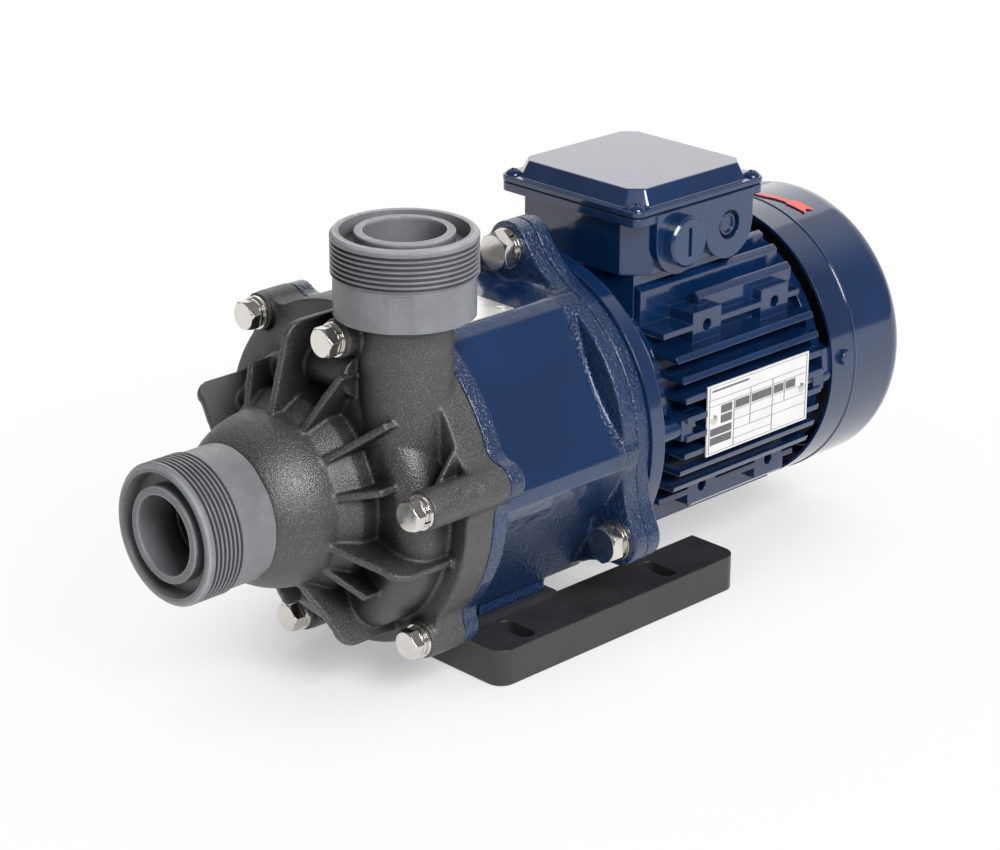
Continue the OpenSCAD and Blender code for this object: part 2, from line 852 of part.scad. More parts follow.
// Hexagonal lantern with its two flanges and the foot
module lantern() {
    color(navy) on_axis() difference() {
        union() {
            eared_plate(flange_r, bolt_circle_r, boss_r, casing_angles,
                joint_y, joint_y + front_flange_t, boss_blend);
            intersection() {
                along_y(joint_y + cut) cylinder(r = lantern_hex_r, h = lantern_len - 2 * cut, $fn = 6);
                disc(lantern_hex_r - lantern_round, joint_y, lantern_back);
            }
            eared_plate(rear_flange_r, ear_circle_r, ear_r, ear_angles,
                ear_seat_y, lantern_back, ear_blend);
            translate([-foot_w / 2, foot_front, -foot_z])
                cube([foot_w, foot_len, foot_z - lantern_bore_r]);
        }
        disc(can_flange_r + slip, joint_y - cut, can_seat_y);
        disc(lantern_bore_r, joint_y, lantern_back + cut);
        around(bolt_circle_r, casing_angles)
            disc(m8_r + slip, joint_y - cut, joint_y + front_flange_t + cut);
        around(ear_circle_r, ear_angles) {
            disc(m10_r + bolt_play, ear_seat_y - cut, lantern_back + cut);
            along_y(ear_seat_y - pocket_len)
                cylinder(r1 = pocket_tip_r, r2 = m10_flats, h = pocket_len);
        }
        around(flat_z - scoop_depth + scoop_r, scoop_angles)
            disc(scoop_r, ear_seat_y - scoop_len, ear_seat_y);
        for (x = [-base_screw_x, base_screw_x]) {
            translate([x, base_screw_y, -foot_z - cut])
                cylinder(r = m8_r + slip, h = base_screw_reach + cut);
        }
        around(flat_z - 3, [0]) for (x = [-1, 1], y = [0, 1]) {
            translate([x * (label_w / 2 - 4), label_front + 4 + y * (label_l - 8), 0])
                cylinder(r = rivet_r + slip, h = 4);
        }
    }
}

module label_plate() {
    color(plate_silver) on_axis() difference() {
        translate([-label_w / 2, label_front, flat_z]) cube([label_w, label_l, label_t]);
        for (x = [-1, 1], y = [0, 1]) {
            translate([x * (label_w / 2 - 4), label_front + 4 + y * (label_l - 8), flat_z - cut])
                cylinder(r = rivet_r + slip, h = 4);
        }
    }
}

// Round-headed rivet pointing down from z = 0
module rivet(grip) {
    translate([0, 0, -grip]) cylinder(r = rivet_r, h = grip + rivet_head_h / 2);
    intersection() {
        translate([0, 0, rivet_head_h - 4.2]) sphere(r = 4.2);
        cylinder(r = rivet_head_r, h = 2);
    }
}

module label_rivets() {
    color(plate_silver) on_axis() for (x = [-1, 1], y = [0, 1]) {
        translate([x * (label_w / 2 - 4), label_front + 4 + y * (label_l - 8), flat_z + label_t])
            rivet(3);
    }
}

module motor_adapter() {
    color(navy) on_axis() difference() {
        eared_plate(rear_flange_r, ear_circle_r, ear_r, ear_angles,
            lantern_back, motor_face, ear_blend);
        disc(pilot_r + slip, lantern_back - cut, motor_face + cut);
        around(ear_circle_r, ear_angles) disc(m10_r + slip, lantern_back - cut, motor_face + cut);
        around(flange_screw_r, flange_screw_angles)
            disc(m8_r + slip, lantern_back + 0.8, motor_face + cut);
    }
}

module adapter_bolts() {
    stack = flat_washer_t + spring_washer_t;
    color(bright_steel) on_axis() around(ear_circle_r, ear_angles)
        translate([0, ear_seat_y - stack, 0])
            hex_bolt(m10_r, m10_flats, m10_head, rear_flange_t + adapter_t + stack - 0.5);
}

module adapter_washers() {
    color(bright_steel) on_axis() around(ear_circle_r, ear_angles) {
        translate([0, ear_seat_y - flat_washer_t, 0])
            ring(2 * m10_r, m10_r + slip, 0, flat_washer_t);
        translate([0, ear_seat_y - flat_washer_t - spring_washer_t, 0]) spring_washer(m10_r);
    }
}

module flange_screws() {
    color(dull_steel) on_axis() around(flange_screw_r, flange_screw_angles)
        translate([0, motor_flange_back, 0]) rotate([0, 0, 180])
            hex_bolt(m8_r, m8_flats, m8_head, motor_flange_t + adapter_t - 1.2);
}

// Copies children onto the four tie points: on the two sides they stand further out
module tie_points() {
    around(tie_r, [0, 180]) children();
    around(tie_side_r, [90, 270]) children();
}

// Flanged front end shield with the front bearing seat
module motor_front_shield() {
    color(navy) on_axis() difference() {
        union() {
            disc(motor_flange_r, motor_face, motor_flange_back);
            disc(pilot_r, motor_face - pilot_h, motor_face + cut);
            disc(neck_r, motor_face, frame_front);
            disc(frame_bore_r - press, motor_face, frame_front + 4);
            tie_points() disc(tie_boss_r, motor_face + cut, frame_front);
        }
        difference() {
            disc(neck_r - neck_wall, motor_face + 5, frame_front + 5);
            disc(bearing_hub_r, motor_face, front_bearing_y + bearing_w + 2);
        }
        disc(bearing_r + press, front_bearing_y, frame_front + 5);
        disc(bearing_bore_r + air_gap, motor_face - pilot_h - cut, frame_front);
        around(flange_screw_r, flange_screw_angles)
            disc(m8_r + bolt_play, motor_face - cut, motor_flange_back + cut);
        tie_points() disc(m5_r + slip, frame_front - 14, frame_front + cut);
    }
}

// Frame tube with its fins, foot pads, terminal pedestal and tie lugs
module motor_frame() {
    fin_front = frame_front + fin_inset;
    fin_len = frame_len - 2 * fin_inset;
    lug_h = 2 * tie_boss_r + 4;
    color(navy) on_axis() difference() {
        union() {
            disc(frame_r, frame_front, frame_back);
            intersection() {
                disc(fin_r, fin_front, fin_front + fin_len);
                union() {
                    for (i = [0:side_fin_count - 1]) {
                        z = (i - (side_fin_count - 1) / 2) * fin_pitch;
                        translate([-fin_r, fin_front, z - fin_t / 2])
                            cube([2 * fin_r, fin_len, fin_t]);
                    }
                    for (x = top_fin_x, s = [-1, 1]) {
                        translate([s * x - fin_t / 2, fin_front, -fin_r])
                            cube([fin_t, fin_len, 2 * fin_r]);
                    }
                    for (s = [-1, 1]) {
                        translate([s * pad_fin_x - fin_t / 2, pad_mid_y - pad_pitch / 2, -fin_r])
                            cube([fin_t, frame_len, 2 * fin_r]);
                    }
                }
            }
            translate([-pedestal_w / 2, pedestal_mid_y - pedestal_l / 2, frame_r / 2])
                cube([pedestal_w, pedestal_l, box_floor_z - frame_r / 2]);
            for (s = [-1, 1], y = [-pad_pitch / 2, pad_pitch / 2], z = [pad_low, -pad_high]) {
                translate([s * (pad_x - pad_depth / 2) - pad_depth / 2, pad_mid_y + y - pad_len / 2, z])
                    cube([pad_depth, pad_len, pad_high - pad_low]);
            }
            tie_points() for (y = [frame_front, frame_back - tie_lug_len]) {
                translate([-tie_boss_r, y, tie_boss_r - lug_h])
                    cube([2 * tie_boss_r, tie_lug_len, lug_h]);
            }
            for (y = [-1, 1]) {
                translate([0, nameplate_y + y * nameplate_rivet_y - 4, -3.5])
                    cube([nameplate_x + cut, 8, 7]);
            }
        }
        disc(frame_bore_r, frame_front - cut, frame_back + cut);
        for (s = [-1, 1], z = [-1, 1]) {
            translate([s * (pad_x + pad_depth / 2) - pad_depth / 2, frame_front - cut,
                z * (pad_low + pad_high) / 2 - pad_flush])
                cube([pad_depth, frame_len + 2 * cut, 2 * pad_flush]);
        }
        translate([nameplate_x, nameplate_y - nameplate_l / 2 - slip, -nameplate_h / 2 - slip])
            cube([fin_r, nameplate_l + 2 * slip, nameplate_h + 2 * slip]);
        for (s = [-1, 1], y = [-pad_pitch / 2, pad_pitch / 2], z = [-1, 1]) {
            translate([s * (pad_x + cut), pad_mid_y + y, z * (pad_low + pad_high) / 2])
                rotate([0, -s * 90, 0]) cylinder(r = pad_hole_r, h = 10 + cut);
        }
        tie_points() {
            disc(m5_r + bolt_play, frame_front - cut, frame_front + tie_lug_len + cut);
            disc(m5_r + bolt_play, frame_back - tie_lug_len - cut, frame_back + cut);
            translate([0, frame_front + tie_lug_len, 0]) disc(tie_boss_r + 1, 0, tie_head_room);
            translate([0, frame_back - tie_lug_len, 0]) disc(tie_boss_r + 1, -tie_head_room, 0);
        }
        for (y = [-1, 1]) {
            translate([nameplate_x - 4, nameplate_y + y * nameplate_rivet_y, 0]) rotate([0, 90, 0])
                cylinder(r = rivet_r + slip, h = 6);
        }
    }
}

module stator_core() {
    slot_count = 24;
    color(dull_steel) on_axis() difference() {
        ring(frame_bore_r - press, rotor_r + 0.5, core_front, core_back);
        for (i = [0:slot_count - 1]) {
            rotate([0, i * 360 / slot_count, 0]) translate([-1.6, core_front - cut, rotor_r])
                cube([3.2, core_back - core_front + 2 * cut, 12]);
        }
    }
}

module stator_winding() {
    color(copper) on_axis() {
        ring(winding_ro, winding_ri, core_front - winding_len, core_front);
        ring(winding_ro, winding_ri, core_back, core_back + winding_len);
    }
}

module rotor_core() {
    color(dull_steel) on_axis() ring(rotor_r, mid_shaft_r + press, core_front, core_back);
}

module motor_shaft() {
    front_shoulder = front_bearing_y + bearing_w;
    color(bright_steel) on_axis() difference() {
        union() {
            disc(motor_shaft_r, shaft_tip_y, front_bearing_y);
            disc(bearing_bore_r, front_bearing_y - 2, front_shoulder);
            disc(mid_shaft_r, front_shoulder, rear_bearing_y);
            disc(bearing_bore_r, rear_bearing_y, rear_bearing_y + bearing_w);
            disc(fan_seat_r, rear_bearing_y + bearing_w, fan_y + fan_hub_len + 3);
        }
        translate([-key_w / 2 - press, key_y, key_z]) cube([key_w + 2 * press, key_len, key_h]);
    }
}

module shaft_key() {
    color(dull_steel) on_axis() translate([-key_w / 2, key_y + press, key_z])
        cube([key_w, key_len - 2 * press, key_h]);
}

// Races of the two deep groove bearings, the groove follows the ball
module bearing_race(ro, ri, y) {
    difference() {
        ring(ro, ri, y, y + bearing_w);
        along_y(y + bearing_w / 2) rotate_extrude()
            translate([ball_circle_r, 0]) circle(r = ball_r + 0.3);
    }
}

module bearing_outer_rings() {
    color(bright_steel) on_axis() for (y = [front_bearing_y, rear_bearing_y]) {
        bearing_race(bearing_r, ball_circle_r + 1.5, y);
    }
}

module bearing_inner_rings() {
    color(bright_steel) on_axis() for (y = [front_bearing_y, rear_bearing_y]) {
        bearing_race(ball_circle_r - 1.5, bearing_bore_r + press, y);
    }
}

module bearing_balls() {
    color(bright_steel) on_axis() for (y = [front_bearing_y, rear_bearing_y]) {
        around(ball_circle_r, [for (i = [0:ball_count - 1]) i * 360 / ball_count])
            translate([0, y + bearing_w / 2, 0]) sphere(r = ball_r);
    }
}

module motor_rear_shield() {
    shield_r = frame_r + 5.5;
    boss_back = cover_front - 0.5;
    lug_r = cover_r - cover_t - press;
    color(navy) on_axis() difference() {
        union() {
            disc(shield_r, frame_back, cover_front);
            disc(frame_bore_r - press, frame_back - 4, cover_front);
            disc(bearing_hub_r, frame_back - 4, rear_bearing_y + bearing_w + 3);
            tie_points() disc(tie_boss_r, frame_back, boss_back);
            for (a = cover_screw_angles) {
                intersection() {
                    rotate([0, a, 0]) translate([-cover_lug_w / 2, frame_back, 0])
                        cube([cover_lug_w, cover_lug_len + cover_gap, lug_r]);
                    ring(lug_r, frame_r - 8, frame_back, cover_front + cover_lug_len);
                }
            }
        }
        disc(bearing_r + press, rear_bearing_y, rear_bearing_y + bearing_w + 4);
        disc(bearing_bore_r + 2.5, frame_back - 5, rear_bearing_y + cut);
        tie_points() disc(m5_r + slip, frame_back - cut, cover_front + cut);
        for (a = cover_screw_angles) {
            rotate([0, a, 0]) translate([0, cover_screw_y, lug_r - 10])
                cylinder(r = cover_screw_r + slip, h = 12);
        }
    }
}

module tie_screws() {
    color(dull_steel) on_axis() tie_points() {
        translate([0, frame_front + tie_lug_len, 0]) rotate([0, 0, 180])
            hex_bolt(m5_r, m5_flats, m5_head, tie_lug_len + 12);
        translate([0, frame_back - tie_lug_len, 0])
            hex_bolt(m5_r, m5_flats, m5_head, tie_lug_len + cover_gap - 1);
    }
}

module cooling_fan() {
    plate_t = 2.5;
    blade_w = 17;
    color(casing_black) on_axis() difference() {
        union() {
            disc(fan_seat_r + 5, fan_y, fan_y + fan_hub_len);
            disc(fan_r, fan_y, fan_y + plate_t);
            for (i = [0:fan_blade_count - 1]) {
                rotate([0, i * 360 / fan_blade_count, 0]) translate([-1.25, fan_y, fan_seat_r + 3])
                    cube([2.5, blade_w, fan_r - fan_seat_r - 4]);
            }
        }
        disc(fan_seat_r + press, fan_y - cut, fan_y + fan_hub_len + cut);
    }
}

// Round-backed shell of the fan cover
module cover_shell(r, round_r, y0, y1) {
    disc(r, y0, y1 - round_r);
    disc(r - round_r, y0, y1);
    along_y(y1 - round_r) rotate_extrude() translate([r - round_r, 0]) circle(r = round_r);
}

module fan_cover() {
    color(navy) on_axis() difference() {
        union() {
            cover_shell(cover_r, cover_round, cover_front, cover_back);
            along_y(bead_y) rotate_extrude() translate([cover_r - bead_r / 2, 0]) circle(r = bead_r);
        }
        cover_shell(cover_r - cover_t, cover_round - cover_t, cover_front - cut, cover_back - cover_t);
        for (i = [0:grille_rings - 1]) {
            difference() {
                ring(grille_first_r + i * grille_pitch + grille_slot, grille_first_r + i * grille_pitch,
                    cover_back - 3, cover_back + cut);
                for (k = [0:grille_spokes - 1]) {
                    rotate([0, k * 360 / grille_spokes, 0]) translate([-spoke_w / 2, cover_back - 4, 0])
                        cube([spoke_w, 6, cover_r]);
                }
            }
        }
        for (a = cover_screw_angles) {
            rotate([0, a, 0]) translate([0, cover_screw_y, cover_r - 6])
                cylinder(r = cover_screw_r + bolt_play, h = 10);
        }
    }
}

module fan_cover_screws() {
    color(navy) on_axis() for (a = cover_screw_angles) {
        rotate([0, a, 0]) translate([0, cover_screw_y, cover_r]) rotate([-90, 0, 0])
            hex_bolt(cover_screw_r, 7, 2.8, 9);
    }
}

// Plate with round corners, centred on x = 0 and on the terminal box
module box_plate(w, l, z0, z1) {
    r = box_corner;
    translate([0, box_mid_y, z0]) linear_extrude(height = z1 - z0) {
        square([w - 2 * r, l], center = true);
        square([w, l - 2 * r], center = true);
        for (x = [-1, 1], y = [-1, 1]) {
            translate([x * (w / 2 - r), y * (l / 2 - r)]) circle(r = r);
        }
    }
}

// Eight-sided outline: a rectangle with its corners cut off
module eight_sided(w, l, c) {
    x = w / 2;
    y = l / 2;
    polygon([[x - c, -y], [x, c - y], [x, y - c], [x - c, y],
        [c - x, y], [-x, y - c], [-x, c - y], [c - x, -y]]);
}

// Hollow of the terminal box, also cut through its gasket and into its lid
module box_hollow(z0, z1) {
    translate([0, box_mid_y, z0]) linear_extrude(height = z1 - z0)
        eight_sided(box_w - 2 * box_wall, box_l - 2 * box_wall, box_cut - 0.6 * box_wall);
}

module lid_corners() {
    for (x = [-1, 1], y = [-1, 1]) {
        translate([x * lid_screw_x, box_mid_y + y * lid_screw_y, 0]) children();
    }
}

// Plate around both cable entries on the +X side, drawn in the plane of its face
module entry_plate() {
    plate_t = entry_x - box_w / 2 + cut;
    translate([box_w / 2 - cut, 0, entry_z]) rotate([90, 0, 90]) linear_extrude(height = plate_t) {
        for (y = [large_entry_y, small_entry_y]) {
            translate([y, 0]) circle(r = entry_lobe_r);
        }
        translate([large_entry_y - entry_lobe_r, 0])
            square([small_entry_y - large_entry_y + 2 * entry_lobe_r, box_joint_z - entry_z]);
    }
}

module entry_hole(y, r, x0) {
    translate([x0, y, entry_z]) rotate([0, 90, 0]) cylinder(r = r, h = lid_w);
}

module terminal_box() {
    color(navy) on_axis() difference() {
        union() {
            translate([0, box_mid_y, box_floor_z]) linear_extrude(height = box_h - cut)
                eight_sided(box_w, box_l, box_cut);
            box_plate(lid_w - 1, lid_l - 1, box_joint_z - box_flange_t, box_joint_z + cut);
            entry_plate();
        }
        translate([-lid_w, box_mid_y - lid_l, box_joint_z]) cube([2 * lid_w, 2 * lid_l, 10]);
        box_hollow(box_floor_z + box_wall, box_joint_z + cut);
        entry_hole(large_entry_y, large_thread_r + slip, 0);
        entry_hole(small_entry_y, small_thread_r + slip, 0);
        entry_hole(small_entry_y, small_recess_r, entry_x - small_recess_depth);
        lid_corners() translate([0, 0, box_joint_z - box_flange_t - cut])
            cylinder(r = lid_screw_r + slip, h = box_flange_t + 2 * cut);
    }
}

module lid_gasket() {
    color(seal_black) on_axis() difference() {
        box_plate(lid_w - 2.5, lid_l - 2.5, box_joint_z, box_joint_z + gasket_t);
        box_hollow(box_joint_z - cut, box_joint_z + gasket_t + cut);
        lid_corners() translate([0, 0, box_joint_z - cut]) cylinder(r = lid_screw_r + slip, h = 4);
    }
}

// Flat rim with the raised, bevelled eight-sided top
module terminal_lid() {
    plate_z = box_joint_z + gasket_t;
    rim_top = plate_z + lid_plate_t;
    top_h = lid_h - gasket_t - lid_plate_t;
    rim_inset = 7;
    top_w = lid_w - rim_inset;
    top_l = lid_l - rim_inset;
    color(navy) on_axis() difference() {
        union() {
            box_plate(lid_w, lid_l, plate_z, rim_top);
            translate([0, box_mid_y, rim_top - cut]) hull() {
                linear_extrude(height = cut + 0.5) eight_sided(top_w, top_l, lid_corner_cut);
                linear_extrude(height = cut + top_h)
                    eight_sided(top_w - 2 * lid_bevel, top_l - 2 * lid_bevel, lid_corner_cut);
            }
        }
        box_hollow(plate_z - cut, plate_z + lid_h - gasket_t - 3);
        lid_corners() {
            translate([0, 0, plate_z - cut]) cylinder(r = lid_screw_r + bolt_play, h = lid_h + cut);
            translate([0, 0, rim_top]) cylinder(r = 4.8, h = lid_h);
        }
    }
}

module lid_screws() {
    seat_z = box_joint_z + gasket_t + lid_plate_t;
    shank_len = lid_plate_t + gasket_t + box_flange_t - 0.4;
    color(navy) on_axis() lid_corners() difference() {
        union() {
            translate([0, 0, seat_z - shank_len]) cylinder(r = lid_screw_r, h = shank_len + 0.5);
            intersection() {
                translate([0, 0, seat_z - 1.9]) sphere(r = 4.6);
                translate([0, 0, seat_z]) cylinder(r = 4.3, h = 4);
            }
        }
        for (a = [0, 90]) {
            translate([0, 0, seat_z + 2.4]) rotate([0, 0, a + 20]) cube([4.6, 1, 2.6], center = true);
        }
    }
}

module terminal_board() {
    color(ceramic_white) on_axis() difference() {
        translate([-19, box_mid_y - 26, box_floor_z + box_wall]) cube([38, 52, 8]);
        terminal_places() cylinder(r = 2 + slip, h = 20);
    }
}

module terminal_places() {
    for (x = [-9, 9], y = [-17, 0, 17]) {
        translate([x, box_mid_y + y, box_floor_z + box_wall]) children();
    }
}

module terminal_studs() {
    color(brass_yellow) on_axis() terminal_places() {
        cylinder(r = 2, h = 18);
        translate([0, 0, 8]) cylinder(d = 7 / cos(30), h = 3, $fn = 6);
    }
}

module cable_plug_large() {
    head = 6;
    edge = 1.2;
    color(navy) on_axis() translate([entry_x, large_entry_y, entry_z]) rotate([0, 90, 0])
        difference() {
            union() {
                cylinder(r = large_plug_r, h = head - edge);
                translate([0, 0, head - edge])
                    cylinder(r1 = large_plug_r, r2 = large_plug_r - edge, h = edge);
                translate([0, 0, -9]) cylinder(r = large_thread_r, h = 9.5);
            }
            translate([0, 0, head]) cube([14, 2.5, 4], center = true);
        }
}

module cable_plug_small() {
    color(navy) on_axis() translate([entry_x - small_recess_depth, small_entry_y, entry_z])
        rotate([0, 90, 0]) difference() {
            union() {
                cylinder(r = small_plug_r, h = 2.8);
                translate([0, 0, -6]) cylinder(r = small_thread_r, h = 6.5);
            }
            translate([0, 0, 1.8]) cylinder(r = small_plug_r - 1.2, h = 3);
        }
}

module nameplate() {
    color(plate_silver) on_axis() difference() {
        translate([nameplate_x, nameplate_y - nameplate_l / 2, -nameplate_h / 2])
            cube([nameplate_t, nameplate_l, nameplate_h]);
        for (y = [-1, 1]) {
            translate([nameplate_x - cut, nameplate_y + y * nameplate_rivet_y, 0])
                rotate([0, 90, 0]) cylinder(r = rivet_r + slip, h = 6);
        }
    }
}

module nameplate_rivets() {
    color(plate_silver) on_axis() for (y = [-1, 1]) {
        translate([nameplate_x + nameplate_t, nameplate_y + y * nameplate_rivet_y, 0])
            rotate([0, 90, 0]) rivet(3);
    }
}

// Slot with round ends, running along X
module slot_hole() {
    reach = (slot_len - slot_w) / 2;
    for (s = [-1, 1]) {
        translate([s * reach, 0, -cut]) cylinder(d = slot_w, h = base_h + 2 * cut);
    }
    translate([-reach, -slot_w / 2, -cut]) cube([2 * reach, slot_w, base_h + 2 * cut]);
}

module base_plate() {
    back = base_front + base_len;
    color(base_black) translate([0, -mount_y, 0]) difference() {
        union() {
            translate([-base_w / 2, base_front + base_corner, 0])
                cube([base_w, base_len - 2 * base_corner, base_h]);
            translate([base_corner - base_w / 2, base_front, 0])
                cube([base_w - 2 * base_corner, base_len, base_h]);
            for (x = [-1, 1], y = [base_front + base_corner, back - base_corner]) {
                translate([x * (base_w / 2 - base_corner), y, 0]) cylinder(r = base_corner, h = base_h);
            }
            translate([-foot_w / 2 - pad_margin, foot_front - pad_margin, base_h - cut])
                cube([foot_w + 2 * pad_margin, foot_len + 2 * pad_margin, pad_h + cut]);
        }
        translate([rail_w - base_w / 2, base_front + web_len, -cut])
            cube([base_w - 2 * rail_w, base_len, base_h + 2 * cut]);
        for (x = [-1, 1], y = [-1, 1]) {
            translate([x * slot_spacing_x / 2, mount_y + y * slot_spacing_y / 2, 0]) slot_hole();
        }
        for (x = [-base_screw_x, base_screw_x]) {
            translate([x, base_screw_y, -cut]) {
                cylinder(r = m8_r + bolt_play, h = base_h + pad_h + 2 * cut);
                cylinder(r = 2 * m8_r + bolt_play, h = m8_head + 2 + cut);
            }
        }
    }
}

module base_screws() {
    grip = base_h + pad_h - m8_head - 2;
    color(dull_steel) translate([0, -mount_y, 0]) for (x = [-base_screw_x, base_screw_x]) {
        translate([x, base_screw_y, m8_head + 2]) rotate([90, 0, 0])
            hex_bolt(m8_r, m8_flats, m8_head, grip + base_screw_reach - 2);
    }
}

base_plate();
base_screws();
lantern();
label_plate();
label_rivets();
pump_casing();
suction_fitting();
discharge_fitting();
casing_bolts();
casing_bolts_long();
casing_flat_washers();
casing_spring_washers();
casing_o_ring();
rear_casing();
pump_shaft();
front_thrust_ring();
rear_thrust_ring();
impeller();
impeller_bush();
inner_rotor();
inner_magnets();
outer_magnet_hub();
drive_magnets();
hub_set_screw();
motor_adapter();
adapter_bolts();
adapter_washers();
flange_screws();
motor_front_shield();
motor_frame();
stator_core();
stator_winding();
rotor_core();
motor_shaft();
shaft_key();
bearing_outer_rings();
bearing_inner_rings();
bearing_balls();
motor_rear_shield();
tie_screws();
cooling_fan();
fan_cover();
fan_cover_screws();
terminal_box();
lid_gasket();
terminal_lid();
lid_screws();
terminal_board();
terminal_studs();
cable_plug_large();
cable_plug_small();
nameplate();
nameplate_rivets();
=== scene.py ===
"""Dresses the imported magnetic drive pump: finishes, printed marks, floor, light and camera."""

import math

import bmesh
import bpy
from bpy.props import FloatProperty, FloatVectorProperty, PointerProperty
from mathutils import Matrix, Vector


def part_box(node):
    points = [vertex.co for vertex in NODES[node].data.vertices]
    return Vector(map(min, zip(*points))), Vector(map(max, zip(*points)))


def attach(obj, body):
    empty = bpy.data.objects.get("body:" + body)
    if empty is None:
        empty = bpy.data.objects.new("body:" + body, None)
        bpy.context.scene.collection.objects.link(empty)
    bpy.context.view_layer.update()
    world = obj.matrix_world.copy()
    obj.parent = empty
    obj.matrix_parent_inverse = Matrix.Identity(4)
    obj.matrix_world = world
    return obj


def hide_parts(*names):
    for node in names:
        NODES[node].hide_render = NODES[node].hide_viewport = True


bl_info = {
    "name": "Magnetic drive pump",
    "version": (1, 0, 0),
    "blender": (4, 5, 0),
    "location": "View3D > Sidebar > Pump",
    "description": "Finishes and stages a magnetic drive pump around its packed solids",
    "category": "Object",
}

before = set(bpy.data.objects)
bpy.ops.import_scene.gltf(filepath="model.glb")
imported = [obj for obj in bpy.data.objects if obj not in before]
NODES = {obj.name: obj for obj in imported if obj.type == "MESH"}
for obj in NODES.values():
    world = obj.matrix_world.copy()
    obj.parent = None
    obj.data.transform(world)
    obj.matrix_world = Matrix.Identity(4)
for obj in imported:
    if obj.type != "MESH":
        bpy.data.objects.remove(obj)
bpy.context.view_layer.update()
BODY = "pump_body"

NAVY_SMOOTH = ["motor_front_shield", "motor_frame", "motor_rear_shield", "terminal_box",
               "cable_plug_large", "cable_plug_small"]
NAVY_SHEET = ["fan_cover", "fan_cover_screws", "lid_screws"]
MOULDED_BLACK = ["rear_casing", "impeller", "inner_rotor", "cooling_fan"]
STAINLESS = ["casing_bolts", "casing_bolts_long", "casing_flat_washers", "casing_spring_washers",
             "adapter_bolts", "adapter_washers"]
ZINC_STEEL = ["base_screws", "flange_screws", "tie_screws", "outer_magnet_hub", "hub_set_screw",
              "shaft_key"]
GROUND_STEEL = ["motor_shaft", "bearing_outer_rings", "bearing_inner_rings", "bearing_balls"]
BARE_PLATES = ["label_plate", "label_rivets", "nameplate_rivets"]
CERAMICS = ["pump_shaft", "front_thrust_ring", "rear_thrust_ring"]
SEALS = ["casing_o_ring", "lid_gasket"]
MAGNETS = ["inner_magnets", "drive_magnets"]
CORES = ["stator_core", "rotor_core"]

# Terminal box lid, in metres: flat rim with round corners, raised top with cut corners
LID_RIM = 0.003
LID_CORNER = 0.006
LID_INSET = 0.0035
LID_SLOPE = 0.0042
LID_FOOT_CUT = 0.0090
LID_TOP_CUT = 0.0062
LID_EDGE = 0.0007
LID_CORNER_POINTS = 9
LID_SHARP = math.radians(24.0)

# Castings: how often each is smoothed, and the gap in metres that is welded shut
SMOOTH_PASSES = {"lantern": 7, "motor_adapter": 4, "pump_casing": 7}
WELD_GAP = 0.00001

# Cast skin of the lantern, in metres: where it starts and is full behind the front rim, before the
# rear rim and above the floor, and its least share
SKIN_FRONT = (0.012, 0.006)
SKIN_REAR = (0.018, 0.012)
SKIN_LOW = (0.082, 0.066)
SKIN_LEAST = 0.12

# Port fittings, in metres: radius of the bore, edges of the face that get a painted highlight,
# softness of their limits, depth of that highlight and depths between which painted shade turns
# the bore black
FITTING_BORE = 0.0186
FITTING_RIMS = [(0.0304, 0.0340), (0.0183, 0.0190), (0.0217, 0.0226)]
FITTING_SOFT = 0.0003
FITTING_HIGHLIGHT_DEPTH = (0.0016, 0.0006)
FITTING_BORE_SHADE = (0.010, 0.024)

# Lamps, in metres: the point they face, their distance from it and their sizes
LAMP_AIM = (0.0, 0.0, 0.10)
LAMP_REACH = 1.6
RIGHT_SIZE = (0.85, 0.68)
BACK_SIZE = (1.4, 1.3)

# Floor, in metres: its drop below the pump, the reach of the shadow close under the pump and the
# distances between which the paper turns plain white
FLOOR_DROP = 0.0004
FLOOR_SHADE = 0.10
FLOOR_FADE = (0.10, 0.46)

# Rotation arrow on the fan cover: degrees from the top, then the low and high edge as metres from
# the cover's front rim
ARROW_SHAFT = [(-4.0, 0.0212, 0.0236), (1.0, 0.0212, 0.0242), (5.0, 0.0224, 0.0258),
               (9.0, 0.0250, 0.0285), (13.6, 0.0270, 0.0306)]
ARROW_TAIL = [(13.6, 0.0258, 0.0334), (20.3, 0.0282, 0.0354)]
ARROW_TIPS = [[(20.3, 0.0320, 0.0354), (21.8, 0.0360, 0.0362)],
              [(20.3, 0.0282, 0.0320), (22.2, 0.0286, 0.0288)]]
ARROW_PROUD = 0.0002
ARROW_FILM = 0.0003
ARROW_STEP = 1.0

# Data plate, in shares of its width and height from the top left: dark head cells and ruled lines,
# each as left, right, top, foot
PLATE_HEADS = [(0.13, 0.24, 0.32, 0.44), (0.27, 0.41, 0.32, 0.44), (0.43, 0.63, 0.32, 0.44),
               (0.65, 0.75, 0.32, 0.44), (0.77, 0.87, 0.32, 0.44), (0.13, 0.24, 0.46, 0.58),
               (0.03, 0.24, 0.62, 0.73), (0.03, 0.24, 0.75, 0.86), (0.04, 0.40, 0.07, 0.10)]
PLATE_RULES = [(0.02, 0.98, 0.03, 0.03), (0.02, 0.98, 0.97, 0.97), (0.02, 0.02, 0.03, 0.97),
               (0.98, 0.98, 0.03, 0.97), (0.03, 0.97, 0.21, 0.21), (0.03, 0.97, 0.30, 0.30),
               (0.26, 0.88, 0.46, 0.46), (0.26, 0.97, 0.60, 0.60), (0.26, 0.97, 0.74, 0.74),
               (0.26, 0.63, 0.87, 0.87), (0.26, 0.26, 0.30, 0.96), (0.42, 0.42, 0.21, 0.74),
               (0.64, 0.64, 0.21, 0.96), (0.76, 0.76, 0.30, 0.60)]
PLATE_SOFT = 0.004
PLATE_RULE = 0.004
PLATE_WHITE = (0.76, 0.76, 0.75)
PLATE_INK = (0.05, 0.05, 0.06)

